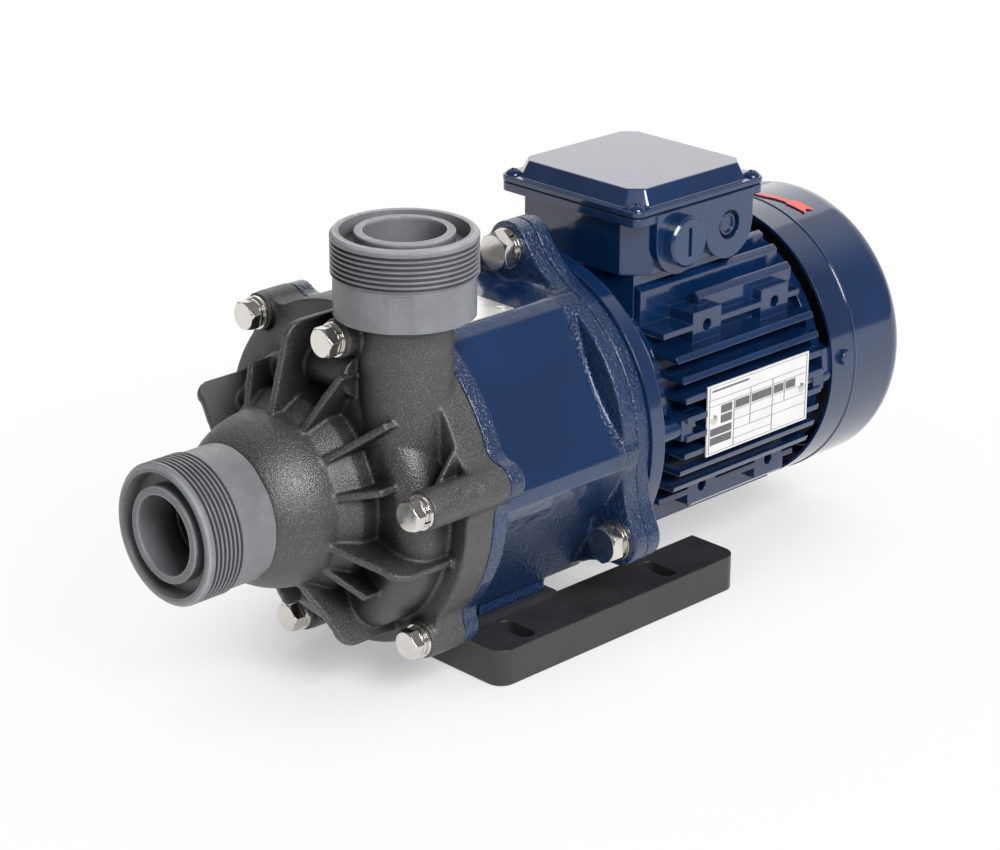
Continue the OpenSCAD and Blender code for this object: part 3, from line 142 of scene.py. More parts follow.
# Inner metals: finish, colour, least and most roughness, pieces
INNER_METALS = [
    ("zinc_steel", (0.52, 0.52, 0.50), 0.25, 0.45, ZINC_STEEL),
    ("ground_steel", (0.66, 0.66, 0.65), 0.15, 0.32, GROUND_STEEL),
    ("magnet_nickel", (0.40, 0.40, 0.41), 0.25, 0.42, MAGNETS),
    ("turned_brass", (0.72, 0.50, 0.20), 0.2, 0.4, ["terminal_studs"]),
    ("copper_wire", (0.62, 0.25, 0.10), 0.25, 0.45, ["stator_winding"]),
]

# Inner dull parts: finish, colour, least and most roughness, grain, share of the edge, pieces
INNER_DULL = [
    ("seal_rubber", (0.012, 0.012, 0.012), 0.5, 0.7, 700.0, 1 / 4, SEALS),
    ("ceramic", (0.72, 0.70, 0.64), 0.18, 0.3, 900.0, 1 / 4, CERAMICS),
    ("bush_carbon", (0.03, 0.03, 0.032), 0.3, 0.5, 800.0, 1 / 4, ["impeller_bush"]),
    ("core_sheet", (0.12, 0.12, 0.125), 0.35, 0.55, 500.0, 1 / 4, CORES),
    ("board_resin", (0.50, 0.45, 0.35), 0.4, 0.6, 700.0, 1 / 3, ["terminal_board"]),
]


class Socket:
    """A node's output that takes part in Python arithmetic."""

    def __init__(self, surface, output):
        self.surface = surface
        self.output = output

    def _math(self, operation, first, second):
        return self.surface.node("ShaderNodeMath", {"operation": operation}, {0: first, 1: second})

    def __add__(self, other):
        return self._math("ADD", self, other)

    def __radd__(self, other):
        return self._math("ADD", other, self)

    def __sub__(self, other):
        return self._math("SUBTRACT", self, other)

    def __rsub__(self, other):
        return self._math("SUBTRACT", other, self)

    def __mul__(self, other):
        return self._math("MULTIPLY", self, other)

    def __rmul__(self, other):
        return self._math("MULTIPLY", other, self)


class Surface:
    """Builds the node tree of one finish."""

    def __init__(self, name, owner=None):
        self.material = owner or bpy.data.materials.new(name)
        self.material.use_nodes = True
        self.tree = self.material.node_tree
        self.tree.nodes.clear()
        self.place = self.node("ShaderNodeTexCoord", output="Object")
        self.end = "ShaderNodeOutputWorld" if owner else "ShaderNodeOutputMaterial"

    def node(self, kind, settings=None, sockets=None, output=0):
        made = self.tree.nodes.new(kind)
        for name, value in (settings or {}).items():
            setattr(made, name, value)
        for name, value in (sockets or {}).items():
            if isinstance(value, Socket):
                self.tree.links.new(value.output, made.inputs[name])
            else:
                made.inputs[name].default_value = value
        return Socket(self, made.outputs[output])

    def noise(self, scale, detail=3.0, roughness=0.5, place=None):
        return self.node("ShaderNodeTexNoise", None, {
            "Vector": place or self.place, "Scale": scale, "Detail": detail,
            "Roughness": roughness})

    def step(self, value, low, high, start=0.0, end=1.0):
        return self.node("ShaderNodeMapRange", {"interpolation_type": "SMOOTHSTEP"}, {
            0: value, 1: low, 2: high, 3: start, 4: end})

    def mix(self, share, first, second):
        return self.node("ShaderNodeMix", {"data_type": "RGBA"}, {
            0: share, 6: first, 7: second}, output=2)

    def axis(self, name):
        return self.node("ShaderNodeSeparateXYZ", None, {0: self.place}, output=name)

    def highest(self, *masks):
        top = masks[0]
        for mask in masks[1:]:
            top = self.node("ShaderNodeMath", {"operation": "MAXIMUM"}, {0: top, 1: mask})
        return top

    def openness(self, reach, local=True):
        """1 on open ground, falling towards 0 in grooves and corners narrower than reach.

        local leaves out what other pieces cover.
        """
        return self.node("ShaderNodeAmbientOcclusion", {"samples": 8, "only_local": local},
                         {"Distance": reach}, output="AO")

    def convex(self):
        """Over 0.5 on outer edges and under it in inner corners."""
        return self.node("ShaderNodeNewGeometry", output="Pointiness")

    def light_path(self, name):
        return self.node("ShaderNodeLightPath", output=name)

    def stretched(self, scale):
        return self.node("ShaderNodeMapping", None, {"Vector": self.place, "Scale": scale})

    def round_edges(self, radius):
        return self.node("ShaderNodeBevel", {"samples": 6}, {"Radius": radius})

    def bump(self, height, distance, strength=1.0, normal=None):
        sockets = {"Height": height, "Distance": distance, "Strength": strength}
        if normal is not None:
            sockets["Normal"] = normal
        return self.node("ShaderNodeBump", None, sockets)

    def shader(self, **sockets):
        named = {key.replace("_", " ").title().replace("Ior", "IOR"): value
                 for key, value in sockets.items()}
        return self.node("ShaderNodeBsdfPrincipled", None, named)

    def blend(self, share, first, second):
        return self.node("ShaderNodeMixShader", None, {0: share, 1: first, 2: second})

    def node_out(self, shader):
        end = self.tree.nodes.new(self.end)
        self.tree.links.new(shader.output, end.inputs["Surface"])
        return self.material

    def finish(self, **sockets):
        return self.node_out(self.shader(**sockets))


def opaque(colour, gain=1.0):
    """A colour with full alpha, made lighter or darker by gain."""
    return tuple(min(1.0, c * gain) for c in colour[:3]) + (1.0,)


def dress(names, material):
    """Gives each named CAD piece one finish."""
    for name in names:
        slots = NODES[name].data.materials
        slots.clear()
        slots.append(material)


def soften(name, grain):
    """Rounds a casting's edges and inner corners, as a mould leaves them."""
    piece = NODES[name]
    weld = piece.modifiers.new("weld", "WELD")
    weld.merge_threshold = WELD_GAP
    skin = piece.modifiers.new("skin", "REMESH")
    skin.mode = "VOXEL"
    skin.voxel_size = grain
    skin.use_smooth_shade = True
    relax = piece.modifiers.new("relax", "SMOOTH")
    relax.factor = 0.5
    relax.iterations = SMOOTH_PASSES[name]


def lantern_skin(s):
    """Where the lantern's sand-cast skin shows: on both flanges and low down on the body."""
    low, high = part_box("lantern")
    along, up = s.axis("Y"), s.axis("Z")
    front = s.step(along, low[1] + SKIN_FRONT[0], low[1] + SKIN_FRONT[1])
    rear = s.step(along, high[1] - SKIN_REAR[0], high[1] - SKIN_REAR[1])
    underside = s.step(up, *SKIN_LOW)
    return s.highest(front, rear, underside, SKIN_LEAST)


def navy_enamel(name, colour, peel, skin, edge=None):
    """Gloss navy enamel over a casting or sheet.

    peel is the height of the long waves in the paint. skin, a number or a function that gives a
    mask, is how far the rough casting shows through.
    """
    s = Surface(name)
    cast = skin(s) if callable(skin) else skin
    drift = s.noise(22.0, 2.0)
    waves = s.noise(150.0, 1.0, 0.4)
    crumbs = s.noise(620.0, 2.0, 0.5)
    base = s.mix(s.step(drift, 0.35, 0.7), opaque(colour, 0.88), opaque(colour, 1.15))
    height = waves * peel + crumbs * cast * 1.6
    normal = s.bump(height, 0.0011, 0.7, None if edge is None else s.round_edges(edge))
    gloss = s.step(s.noise(60.0, 3.0), 0.3, 0.75, 0.11, 0.15) + cast * 0.05
    return s.finish(base_color=base, roughness=gloss, normal=normal, ior=1.55, coat_weight=0.5,
                    coat_roughness=0.04, coat_ior=1.5)


def moulded_plastic(name, colour, speck_and_highlight_colour, edge=None):
    """Glass-filled plastic: charcoal with a fine grain and pale specks, a painted highlight on
    outer edges and painted shade in dull recesses.
    """
    s = Surface(name)
    cloud = s.noise(46.0, 5.0, 0.6)
    grain = s.noise(1350.0, 2.0, 0.5)
    dust = s.noise(1600.0, 2.0, 0.5)
    base = s.mix(s.step(cloud, 0.35, 0.7), opaque(colour, 0.80), opaque(colour, 1.2))
    base = s.mix(s.step(grain, 0.50, 0.36) * 0.8, base, opaque(colour, 0.3))
    base = s.mix(s.step(dust, 0.55, 0.68) * 0.65, base, opaque(speck_and_highlight_colour))
    # Painted highlight: outer edges turn half way to the pale speck colour.
    base = s.mix(s.step(s.convex(), 0.54, 0.66) * 0.5, base, opaque(speck_and_highlight_colour))
    rough = s.step(cloud * 0.7 + grain * 0.3, 0.36, 0.62, 0.31, 0.50)
    normal = s.bump(grain + dust * 0.3, 0.0005, 0.7,
                    None if edge is None else s.round_edges(edge))
    shiny = s.shader(base_color=base, roughness=rough, normal=normal, ior=1.8)
    # Painted shade: recesses narrower than 34 mm blend into a rough, weakly reflecting finish in a
    # darker colour, 0.3 of the plastic's.
    dull_shaded_recess = s.shader(base_color=opaque(colour, 0.3), roughness=0.7, normal=normal, ior=1.25)
    return s.node_out(s.blend(s.step(s.openness(0.034), 0.25, 0.85), dull_shaded_recess, shiny))


def grey_pvc(name, colour, edge, piece, along, mouth):
    """Turned grey plastic with machining marks, painted shade in the thread grooves, hollows and
    bore, and a painted highlight on the rims of the face.

    The piece is round about the named axis and opens at the height mouth on it.
    """
    s = Surface(name)
    low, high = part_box(piece)
    middle = {axis: (low[i] + high[i]) / 2 for i, axis in enumerate("XYZ")}
    first, second = [s.axis(axis) - middle[axis] for axis in "XYZ" if axis != along]
    radius = s.node("ShaderNodeMath", {"operation": "SQRT"}, {0: first * first + second * second})
    depth = s.node("ShaderNodeMath", {"operation": "ABSOLUTE"}, {0: s.axis(along) - mouth})

    def ring(inner, outer):
        return (s.step(radius, inner - FITTING_SOFT, inner + FITTING_SOFT)
                * s.step(radius, outer + FITTING_SOFT, outer - FITTING_SOFT))

    cloud = s.noise(70.0, 4.0, 0.6)
    grain = s.noise(1500.0, 2.0, 0.6)
    marks = s.noise(420.0, 2.0, 0.5, s.stretched((1.0, 1.0, 0.12)))
    groove_shade = s.step(s.openness(0.0022), 0.30, 0.72)
    hollow_shade = s.step(s.openness(0.012), 0.15, 0.60)
    rims = s.highest(*[ring(*pair) for pair in FITTING_RIMS])
    rim_highlight = s.step(depth, *FITTING_HIGHLIGHT_DEPTH) * rims
    bore_shade = s.step(depth, *FITTING_BORE_SHADE) * s.step(radius, FITTING_BORE + 0.0005, FITTING_BORE)
    base = s.mix(s.step(cloud, 0.35, 0.7), opaque(colour, 0.90), opaque(colour, 1.12))
    base = s.mix(s.step(grain, 0.56, 0.70) * 0.45, base, opaque(colour, 1.7))
    # Painted shade: the thread grooves darken to 0.22 of the plastic's colour.
    base = s.mix(groove_shade, opaque(colour, 0.22), base)
    # Painted shade: hollows narrower than 12 mm darken to 0.55 of the colour.
    base = s.mix(hollow_shade, opaque(colour, 0.55), base)
    # Painted highlight: the rims of the face, close to the mouth, turn pale in patches.
    base = s.mix(rim_highlight * s.step(cloud + grain * 0.3, 0.45, 0.75, 0.35, 0.8), base,
                 opaque(colour, 2.1))
    # Painted shade: between 10 and 24 mm inside the bore the colour turns nearly black and the
    # surface rougher.
    base = s.mix(bore_shade, base, opaque(colour, 0.02))
    rough = s.step(cloud * 0.5 + marks * 0.5, 0.35, 0.65, 0.28, 0.44) + bore_shade * 0.4
    normal = s.bump(grain * 0.6 + marks, 0.0003, 0.45, s.round_edges(edge))
    return s.finish(base_color=base, roughness=rough, normal=normal, ior=1.6)


def bright_metal(name, colour, low_rough, high_rough, edge):
    """Polished or ground metal with fine scratches and slow changes of gloss."""
    s = Surface(name)
    smear = s.noise(120.0, 3.0)
    scratch = s.noise(1300.0, 2.0, 0.6, s.stretched((1.0, 0.06, 1.0)))
    base = s.mix(s.step(smear, 0.3, 0.75), opaque(colour, 0.93), opaque(colour, 1.04))
    # Painted shade: tight crevices darken to 0.35 of the metal's colour.
    base = s.mix(s.step(s.openness(0.0015), 0.15, 0.6), opaque(colour, 0.35), base)
    rough = s.step(smear + scratch * 0.3, 0.4, 1.0, low_rough, high_rough)
    normal = s.bump(scratch, 0.00004, 0.25, s.round_edges(edge))
    return s.finish(base_color=base, metallic=1.0, roughness=rough, normal=normal)


def matte_solid(name, colour, low_rough, high_rough, grain_scale, edge):
    """Plain moulded, sintered or cast stuff with a fine grain."""
    s = Surface(name)
    cloud = s.noise(40.0, 3.0)
    grain = s.noise(grain_scale, 3.0, 0.6)
    base = s.mix(s.step(cloud + grain * 0.4, 0.5, 0.95), opaque(colour, 0.82), opaque(colour, 1.2))
    rough = s.step(cloud, 0.3, 0.7, low_rough, high_rough)
    normal = s.bump(grain, 0.0003, 0.35, s.round_edges(edge))
    return s.finish(base_color=base, roughness=rough, normal=normal, ior=1.55)


def ruled_plate(name, plate, ink):
    """White data plate with a printed border, blank ruled fields and plain dark head cells."""
    s = Surface(name)
    low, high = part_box("nameplate")
    across = (s.axis("Y") - low[1]) * (1.0 / (high[1] - low[1]))
    down = (high[2] - s.axis("Z")) * (1.0 / (high[2] - low[2]))

    def span(value, start, end):
        return (s.step(value, start - PLATE_SOFT, start + PLATE_SOFT)
                * s.step(value, end + PLATE_SOFT, end - PLATE_SOFT))

    def field(left, right, top, foot):
        return span(across, left, right) * span(down, top, foot)

    def rule(left, right, top, foot):
        return field(left - PLATE_RULE, right + PLATE_RULE, top - PLATE_RULE, foot + PLATE_RULE)

    print_mask = s.highest(*[field(*box) for box in PLATE_HEADS],
                           *[rule(*box) for box in PLATE_RULES])
    smear = s.noise(90.0, 3.0)
    specks = s.noise(1800.0, 2.0)
    base = s.mix(s.step(smear, 0.3, 0.7), opaque(plate, 0.95), opaque(plate, 1.03))
    base = s.mix(print_mask * s.step(specks, 0.2, 0.45, 0.6, 0.92), base, opaque(ink))
    rough = s.step(smear, 0.3, 0.7, 0.30, 0.42)
    return s.finish(base_color=base, roughness=rough, normal=s.bump(specks, 0.00005, 0.2))


def vinyl_film(name, colour):
    """Printed film with a faint mottle."""
    s = Surface(name)
    mottle = s.noise(260.0, 3.0)
    base = s.mix(s.step(mottle, 0.3, 0.7), opaque(colour, 0.9), opaque(colour, 1.1))
    return s.finish(base_color=base, roughness=s.step(mottle, 0.3, 0.7, 0.25, 0.40),
                    normal=s.bump(mottle, 0.00004, 0.3))


class PumpFinishes(bpy.types.PropertyGroup):
    """Colours of the pump's finishes and the softness of its edges."""

    navy: FloatVectorProperty(
        name="Navy", description="Enamel on the lantern and the motor", subtype="COLOR", size=3,
        default=(0.004, 0.023, 0.082), min=0.0, max=1.0)
    casing: FloatVectorProperty(
        name="Casing", description="Glass-filled plastic of the pump casing", subtype="COLOR",
        size=3, default=(0.034, 0.033, 0.0325), min=0.0, max=1.0)
    # Also the colour of the painted highlight on the casing's outer edges
    speck_and_edge_highlight: FloatVectorProperty(
        name="Specks", description="Pale specks in the casing plastic", subtype="COLOR", size=3,
        default=(0.160, 0.156, 0.152), min=0.0, max=1.0)
    fitting: FloatVectorProperty(
        name="Fittings", description="Grey plastic of the two port fittings", subtype="COLOR",
        size=3, default=(0.172, 0.180, 0.190), min=0.0, max=1.0)
    base: FloatVectorProperty(
        name="Base", description="Black plastic of the base", subtype="COLOR", size=3,
        default=(0.030, 0.030, 0.032), min=0.0, max=1.0)
    steel: FloatVectorProperty(
        name="Stainless", description="Polished steel of the outside bolts", subtype="COLOR",
        size=3, default=(0.74, 0.71, 0.67), min=0.0, max=1.0)
    plate: FloatVectorProperty(
        name="Plates", description="Bare metal of the label plate and the rivets", subtype="COLOR",
        size=3, default=(0.78, 0.77, 0.74), min=0.0, max=1.0)
    arrow: FloatVectorProperty(
        name="Arrow", description="Film of the rotation arrow", subtype="COLOR", size=3,
        default=(0.86, 0.12, 0.10), min=0.0, max=1.0)
    casting_grain: FloatProperty(
        name="Fillet grain", description="Fineness of the rounded corners of castings",
        unit="LENGTH", default=0.0007, min=0.0004, max=0.003)
    edge: FloatProperty(
        name="Edge rounding", description="Rounding of painted and moulded edges", unit="LENGTH",
        default=0.0010, min=0.0, max=0.004)


class PumpStage(bpy.types.PropertyGroup):
    """Camera, floor and lamps."""

    camera_place: FloatVectorProperty(
        name="Camera", description="Place of the camera", subtype="TRANSLATION", size=3,
        unit="LENGTH", default=(0.90888, -0.89493, 0.59311))
    azimuth: FloatProperty(
        name="Azimuth", description="Turn of the camera, 0 looks along +Y",
        subtype="ANGLE", default=math.radians(45.507))
    elevation: FloatProperty(
        name="Elevation", description="Height of the camera above the horizon", subtype="ANGLE",
        default=math.radians(21.508))
    roll: FloatProperty(
        name="Roll", description="Tilt of the camera", subtype="ANGLE",
        default=math.radians(0.321))
    lens: FloatProperty(
        name="Lens", description="Focal length", subtype="DISTANCE_CAMERA", default=101.927)
    floor_size: FloatProperty(
        name="Floor", description="Side of the square floor", unit="LENGTH", default=14.0)
    floor_white: FloatProperty(
        name="White floor", description="Share of plain white in the floor close under the pump",
        subtype="FACTOR", default=0.45, min=0.0, max=1.0)
    fill: FloatProperty(
        name="Fill", description="Even light of the room", default=0.27, min=0.0, max=2.0)
    right: FloatProperty(
        name="Right lamp", description="Power of the soft box on the right", default=27.0,
        min=0.0, max=100.0)
    right_from: FloatVectorProperty(
        name="Right lamp lies", description="Direction of the soft box on the right",
        subtype="DIRECTION", size=3, default=(0.77, -0.22, 0.60))
    back: FloatProperty(
        name="Back lamp", description="Power of the wide soft box behind the pump", default=4.6,
        min=0.0, max=100.0)
    back_from: FloatVectorProperty(
        name="Back lamp lies", description="Direction of the soft box behind the pump",
        subtype="DIRECTION", size=3, default=(-0.56, 0.66, 0.50))
    dark_side: FloatProperty(
        name="Dark side", description="What gloss mirrors of the room behind the camera",
        default=0.28, min=0.0, max=1.0)


class PUMP_OT_castings(bpy.types.Operator):
    """Paints the lantern, the motor castings and the terminal box"""

    bl_idname = "pump.castings"
    bl_label = "Navy castings"

    def execute(self, context):
        look = context.scene.pump_finishes
        dress(["lantern"], navy_enamel("navy_lantern", look.navy, 0.35, lantern_skin))
        dress(["motor_adapter"], navy_enamel("navy_rough_cast", look.navy, 0.35, 0.9))
        dress(NAVY_SMOOTH, navy_enamel("navy_smooth_cast", look.navy, 0.12, 0.05, look.edge))
        soften("lantern", look.casting_grain)
        soften("motor_adapter", look.casting_grain)
        return {"FINISHED"}


class PUMP_OT_sheet(bpy.types.Operator):
    """Paints the fan cover and its screws"""

    bl_idname = "pump.sheet"
    bl_label = "Navy sheet metal"

    def execute(self, context):
        look = context.scene.pump_finishes
        dress(NAVY_SHEET, navy_enamel("navy_sheet", look.navy, 0.06, 0.0, look.edge / 2))
        return {"FINISHED"}


class PUMP_OT_lid(bpy.types.Operator):
    """Builds the terminal box lid with its raised, bevelled top"""

    bl_idname = "pump.lid"
    bl_label = "Terminal box lid"

    def execute(self, context):
        look = context.scene.pump_finishes
        mesh = bpy.data.meshes.new("box_lid")
        shape = bmesh.new()
        self.loft(shape)
        shape.to_mesh(mesh)
        shape.free()
        for face in mesh.polygons:
            face.use_smooth = True
        lid = bpy.data.objects.new("box_lid", mesh)
        context.scene.collection.objects.link(lid)
        rounding = lid.modifiers.new("rounding", "BEVEL")
        rounding.width = LID_EDGE
        rounding.segments = 3
        rounding.angle_limit = LID_SHARP
        lid.modifiers.new("flat_faces", "WEIGHTED_NORMAL")
        mesh.materials.append(navy_enamel("navy_lid", look.navy, 0.05, 0.0))
        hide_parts("terminal_lid")
        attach(lid, BODY)
        return {"FINISHED"}

    def loft(self, shape):
        """Skins the lid over four outlines and closes it above and below."""
        low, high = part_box("terminal_lid")
        middle = Vector(((low[0] + high[0]) / 2, (low[1] + high[1]) / 2))
        half = Vector(((high[0] - low[0]) / 2, (high[1] - low[1]) / 2))

        def outline(inset, cut, up, is_round):
            ring = []
            for quarter in range(4):
                side = Vector((1, 1)) if quarter in (0, 2) else Vector((-1, 1))
                side *= 1 if quarter < 2 else -1
                for i in range(LID_CORNER_POINTS):
                    share = i / (LID_CORNER_POINTS - 1)
                    share = 1 - share if quarter in (1, 3) else share
                    angle = share * math.pi / 2
                    reach = (Vector((math.cos(angle), math.sin(angle))) if is_round
                             else Vector((1 - share, share)))
                    spot = half - Vector((inset + cut, inset + cut)) + cut * reach
                    ring.append(shape.verts.new(
                        (middle[0] + side[0] * spot[0], middle[1] + side[1] * spot[1], up)))
            return ring

        rim_top = low[2] + LID_RIM
        rings = [outline(0.0, LID_CORNER, low[2], True), outline(0.0, LID_CORNER, rim_top, True),
                 outline(LID_INSET, LID_FOOT_CUT, rim_top, False),
                 outline(LID_INSET + LID_SLOPE, LID_TOP_CUT, high[2], False)]
        for below, above in zip(rings, rings[1:]):
            for i in range(len(below)):
                j = (i + 1) % len(below)
                shape.faces.new((below[i], below[j], above[j], above[i]))
        shape.faces.new(rings[-1])
        shape.faces.new(reversed(rings[0]))
        bmesh.ops.recalc_face_normals(shape, faces=shape.faces)


class PUMP_OT_arrow(bpy.types.Operator):
    """Sticks the rotation arrow on the top of the fan cover"""

    bl_idname = "pump.arrow"
    bl_label = "Rotation arrow"

    def execute(self, context):
        look = context.scene.pump_finishes
        mesh = bpy.data.meshes.new("rotation_arrow")
        shape = bmesh.new()
        self.wrap(shape)
        shape.to_mesh(mesh)
        shape.free()
        arrow = bpy.data.objects.new("rotation_arrow", mesh)
        context.scene.collection.objects.link(arrow)
        film = arrow.modifiers.new("film", "SOLIDIFY")
        film.thickness = ARROW_FILM
        film.offset = -1.0
        mesh.materials.append(vinyl_film("arrow_film", look.arrow))
        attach(arrow, BODY)
        return {"FINISHED"}

    def wrap(self, shape):
        """Lays the arrow around the cover: a curved shaft that ends in a wide notched tail."""
        low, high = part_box("fan_cover")
        radius = (high[0] - low[0]) / 2 + ARROW_PROUD
        axis_up = (high[2] + low[2]) / 2

        def corner(turn, station):
            angle = math.radians(turn)
            return shape.verts.new((radius * math.sin(angle), low[1] + station,
                                    axis_up + radius * math.cos(angle)))

        def strip(rows):
            """Faces between a low and a high edge, given at a few turns and filled in between."""
            edge = None
            for (t0, a0, b0), (t1, a1, b1) in zip(rows, rows[1:]):
                count = max(1, round(abs(t1 - t0) / ARROW_STEP))
                for i in range(0 if edge is None else 1, count + 1):
                    share = i / count
                    turn = t0 + (t1 - t0) * share
                    pair = (corner(turn, a0 + (a1 - a0) * share),
                            corner(turn, b0 + (b1 - b0) * share))
                    if edge is not None:
                        shape.faces.new((edge[0], pair[0], pair[1], edge[1]))
                    edge = pair

        strip(ARROW_SHAFT)
        strip(ARROW_TAIL)
        for tip in ARROW_TIPS:
            strip(tip)
        bmesh.ops.remove_doubles(shape, verts=shape.verts, dist=WELD_GAP)
        bmesh.ops.recalc_face_normals(shape, faces=shape.faces)


class PUMP_OT_casing(bpy.types.Operator):
    """Gives the moulded pieces their speckled plastic"""

    bl_idname = "pump.casing"
    bl_label = "Moulded casing"

    def execute(self, context):
        look = context.scene.pump_finishes
        dress(["pump_casing"], moulded_plastic("casing_plastic", look.casing, look.speck_and_edge_highlight))
        dress(MOULDED_BLACK, moulded_plastic("inner_plastic", look.casing, look.speck_and_edge_highlight, look.edge))
        soften("pump_casing", look.casting_grain)
        return {"FINISHED"}


class PUMP_OT_fittings(bpy.types.Operator):
    """Gives the two port fittings their grey plastic"""

    bl_idname = "pump.fittings"
    bl_label = "Port fittings"

    def execute(self, context):
        look = context.scene.pump_finishes
        for piece, along, mouth in (
                ("suction_fitting", "Y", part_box("suction_fitting")[0][1]),
                ("discharge_fitting", "Z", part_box("discharge_fitting")[1][2])):
            dress([piece], grey_pvc(piece + "_plastic", look.fitting, look.edge / 3, piece, along,
                                    mouth))
        return {"FINISHED"}


class PUMP_OT_metals(bpy.types.Operator):
    """Finishes bolts, washers, shafts, bearings and bare plates"""

    bl_idname = "pump.metals"
    bl_label = "Bare metals"

    def execute(self, context):
        look = context.scene.pump_finishes
        fine = look.edge / 3
        dress(STAINLESS, bright_metal("stainless", look.steel, 0.10, 0.24, fine))
        dress(BARE_PLATES, bright_metal("bare_plate", look.plate, 0.31, 0.37, fine))
        for name, colour, low_rough, high_rough, pieces in INNER_METALS:
            dress(pieces, bright_metal(name, colour, low_rough, high_rough, fine))
        dress(["nameplate"], ruled_plate("data_plate", PLATE_WHITE, PLATE_INK))
        return {"FINISHED"}


class PUMP_OT_dull_parts(bpy.types.Operator):
    """Finishes the base, seals, ceramics, bush, cores and terminal board"""

    bl_idname = "pump.dull_parts"
    bl_label = "Base and inner parts"

    def execute(self, context):
        look = context.scene.pump_finishes
        edge = look.edge
        dress(["base_plate"], matte_solid("base_plastic", look.base, 0.30, 0.44, 900.0, edge))
        for name, colour, low_rough, high_rough, grain_scale, share, pieces in INNER_DULL:
            dress(pieces, matte_solid(name, colour, low_rough, high_rough, grain_scale,
                                      edge * share))
        return {"FINISHED"}


def soft_box(name, way, size, power):
    """A rectangular lamp with an even face, in the direction way from the pump and facing it."""
    data = bpy.data.lights.new(name, "AREA")
    data.shape = "RECTANGLE"
    data.size, data.size_y = size
    data.energy = power
    lamp = bpy.data.objects.new(name, data)
    aim = Vector(LAMP_AIM)
    lamp.location = aim + LAMP_REACH * Vector(way).normalized()
    lamp.rotation_euler = (aim - lamp.location).to_track_quat("-Z", "Y").to_euler()
    bpy.context.scene.collection.objects.link(lamp)


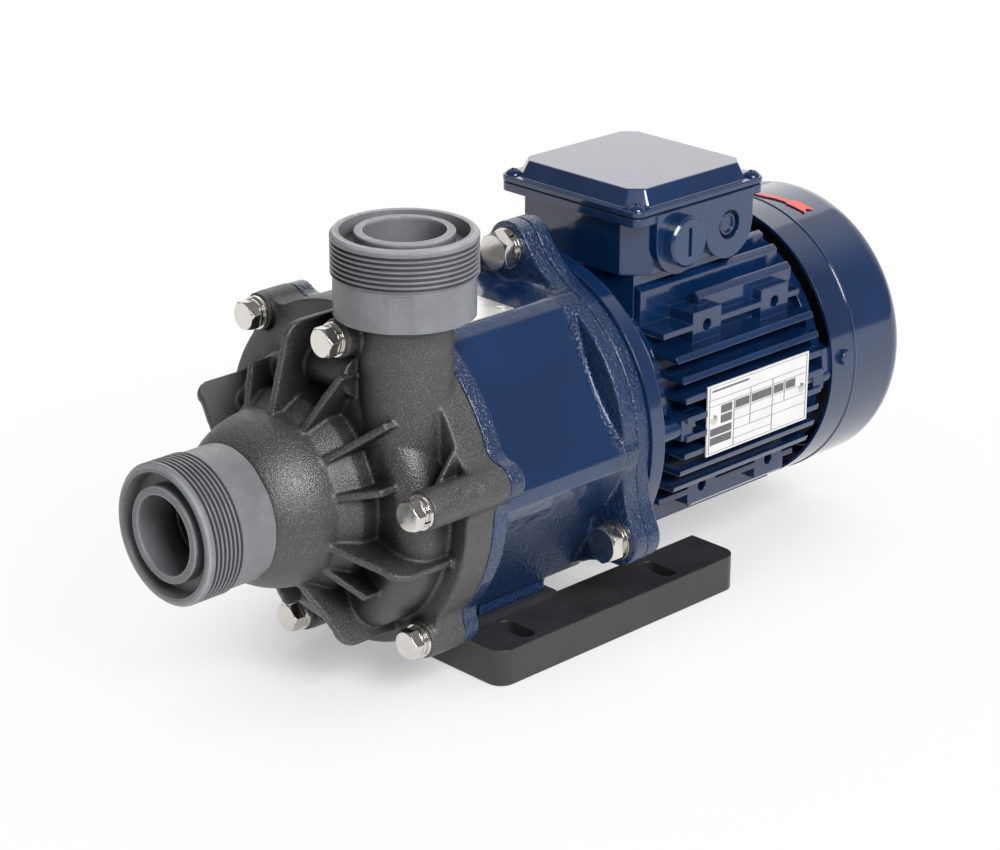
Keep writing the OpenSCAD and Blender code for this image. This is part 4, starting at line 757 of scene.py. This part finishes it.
class PUMP_OT_stage(bpy.types.Operator):
    """Makes the floor, the room light, the lamps and the camera"""

    bl_idname = "pump.stage"
    bl_label = "Stage"

    def execute(self, context):
        settings = context.scene.pump_stage
        self.make_floor(settings)
        self.make_room(context.scene, settings)
        soft_box("right_box", settings.right_from, RIGHT_SIZE, settings.right)
        soft_box("back_box", settings.back_from, BACK_SIZE, settings.back)
        self.make_camera(context.scene, settings)
        return {"FINISHED"}

    def make_floor(self, settings):
        half = settings.floor_size / 2
        mesh = bpy.data.meshes.new("floor")
        mesh.from_pydata([(-half, -half, 0), (half, -half, 0), (half, half, 0), (-half, half, 0)],
                         [], [(0, 1, 2, 3)])
        floor = bpy.data.objects.new("floor", mesh)
        floor.location.z = -FLOOR_DROP
        bpy.context.scene.collection.objects.link(floor)
        s = Surface("floor_paper")
        fibre = s.noise(90.0, 3.0)
        paper = s.node("ShaderNodeBsdfDiffuse", None, {"Color": s.mix(
            fibre, (0.83, 0.83, 0.83, 1.0), (0.87, 0.87, 0.87, 1.0))})
        white = s.node("ShaderNodeEmission", None, {"Color": (1.0, 1.0, 1.0, 1.0)})
        away = s.node("ShaderNodeVectorMath", {"operation": "LENGTH"}, {0: s.place},
                      output="Value")
        share = (s.step(s.openness(FLOOR_SHADE, False), 0.20, 0.85, settings.floor_white, 1.0)
                 * s.step(away, *FLOOR_FADE, 0.92, 1.0))
        s.node_out(s.blend(self.in_view(s) * share, paper, white))
        mesh.materials.append(s.material)

    def in_view(self, s):
        """1 for what the camera sees, also in gloss and through clear pieces."""
        return s.highest(s.light_path("Is Camera Ray"), s.light_path("Is Glossy Ray"),
                         s.light_path("Is Transmission Ray"))

    def make_room(self, scene, settings):
        scene.world = bpy.data.worlds.new("room")
        s = Surface("room", scene.world)
        way = s.node("ShaderNodeTexCoord", output="Generated")
        facing = s.node("ShaderNodeVectorMath", {"operation": "DOT_PRODUCT"}, {
            0: way, 1: Vector(settings.back_from).normalized()}, output="Value")
        mirrored = s.node("ShaderNodeBackground", None, {"Strength": s.step(
            facing, 0.45, 0.85, settings.dark_side, 1.0)})
        even = s.node("ShaderNodeBackground", None, {"Strength": settings.fill})
        white = s.node("ShaderNodeBackground", None, {"Color": (1.0, 1.0, 1.0, 1.0)})
        seen = s.highest(s.light_path("Is Camera Ray"), s.light_path("Is Transmission Ray"))
        lit = s.blend(s.light_path("Is Glossy Ray"), even, mirrored)
        s.node_out(s.blend(seen, lit, white))

    def make_camera(self, scene, settings):
        data = bpy.data.cameras.new("camera")
        data.sensor_fit = "HORIZONTAL"
        data.sensor_width = 36.0
        data.lens = settings.lens
        data.clip_start, data.clip_end = 0.05, 50.0
        camera = bpy.data.objects.new("camera", data)
        scene.collection.objects.link(camera)
        a, e = settings.azimuth, settings.elevation
        back = Vector((math.sin(a) * math.cos(e), -math.cos(a) * math.cos(e), math.sin(e)))
        right = Vector((math.cos(a), math.sin(a), 0.0))
        turn = Matrix((right, back.cross(right), back)).transposed()
        turn = Matrix.Rotation(settings.roll, 3, back) @ turn
        camera.matrix_world = Matrix.Translation(settings.camera_place) @ turn.to_4x4()
        scene.camera = camera
        scene.view_settings.view_transform = "Standard"


class PUMP_PT_sidebar(bpy.types.Panel):
    """Lists the pump's finishing steps"""

    bl_label = "Magnetic drive pump"
    bl_idname = "PUMP_PT_sidebar"
    bl_space_type = "VIEW_3D"
    bl_region_type = "UI"
    bl_category = "Pump"

    def draw(self, context):
        for operator in OPERATORS:
            self.layout.operator(operator.bl_idname)


OPERATORS = (PUMP_OT_castings, PUMP_OT_sheet, PUMP_OT_lid, PUMP_OT_arrow, PUMP_OT_casing,
             PUMP_OT_fittings, PUMP_OT_metals, PUMP_OT_dull_parts, PUMP_OT_stage)
CLASSES = (PumpFinishes, PumpStage, *OPERATORS, PUMP_PT_sidebar)


def register():
    for cls in CLASSES:
        bpy.utils.register_class(cls)
    bpy.types.Scene.pump_finishes = PointerProperty(type=PumpFinishes)
    bpy.types.Scene.pump_stage = PointerProperty(type=PumpStage)


def unregister():
    del bpy.types.Scene.pump_stage
    del bpy.types.Scene.pump_finishes
    for cls in reversed(CLASSES):
        bpy.utils.unregister_class(cls)


def main():
    register()
    bpy.ops.pump.castings()
    bpy.ops.pump.sheet()
    bpy.ops.pump.lid()
    bpy.ops.pump.arrow()
    bpy.ops.pump.casing()
    bpy.ops.pump.fittings()
    bpy.ops.pump.metals()
    bpy.ops.pump.dull_parts()
    bpy.ops.pump.stage()
    bpy.context.view_layer.update()


if __name__ == "__main__":
    main()
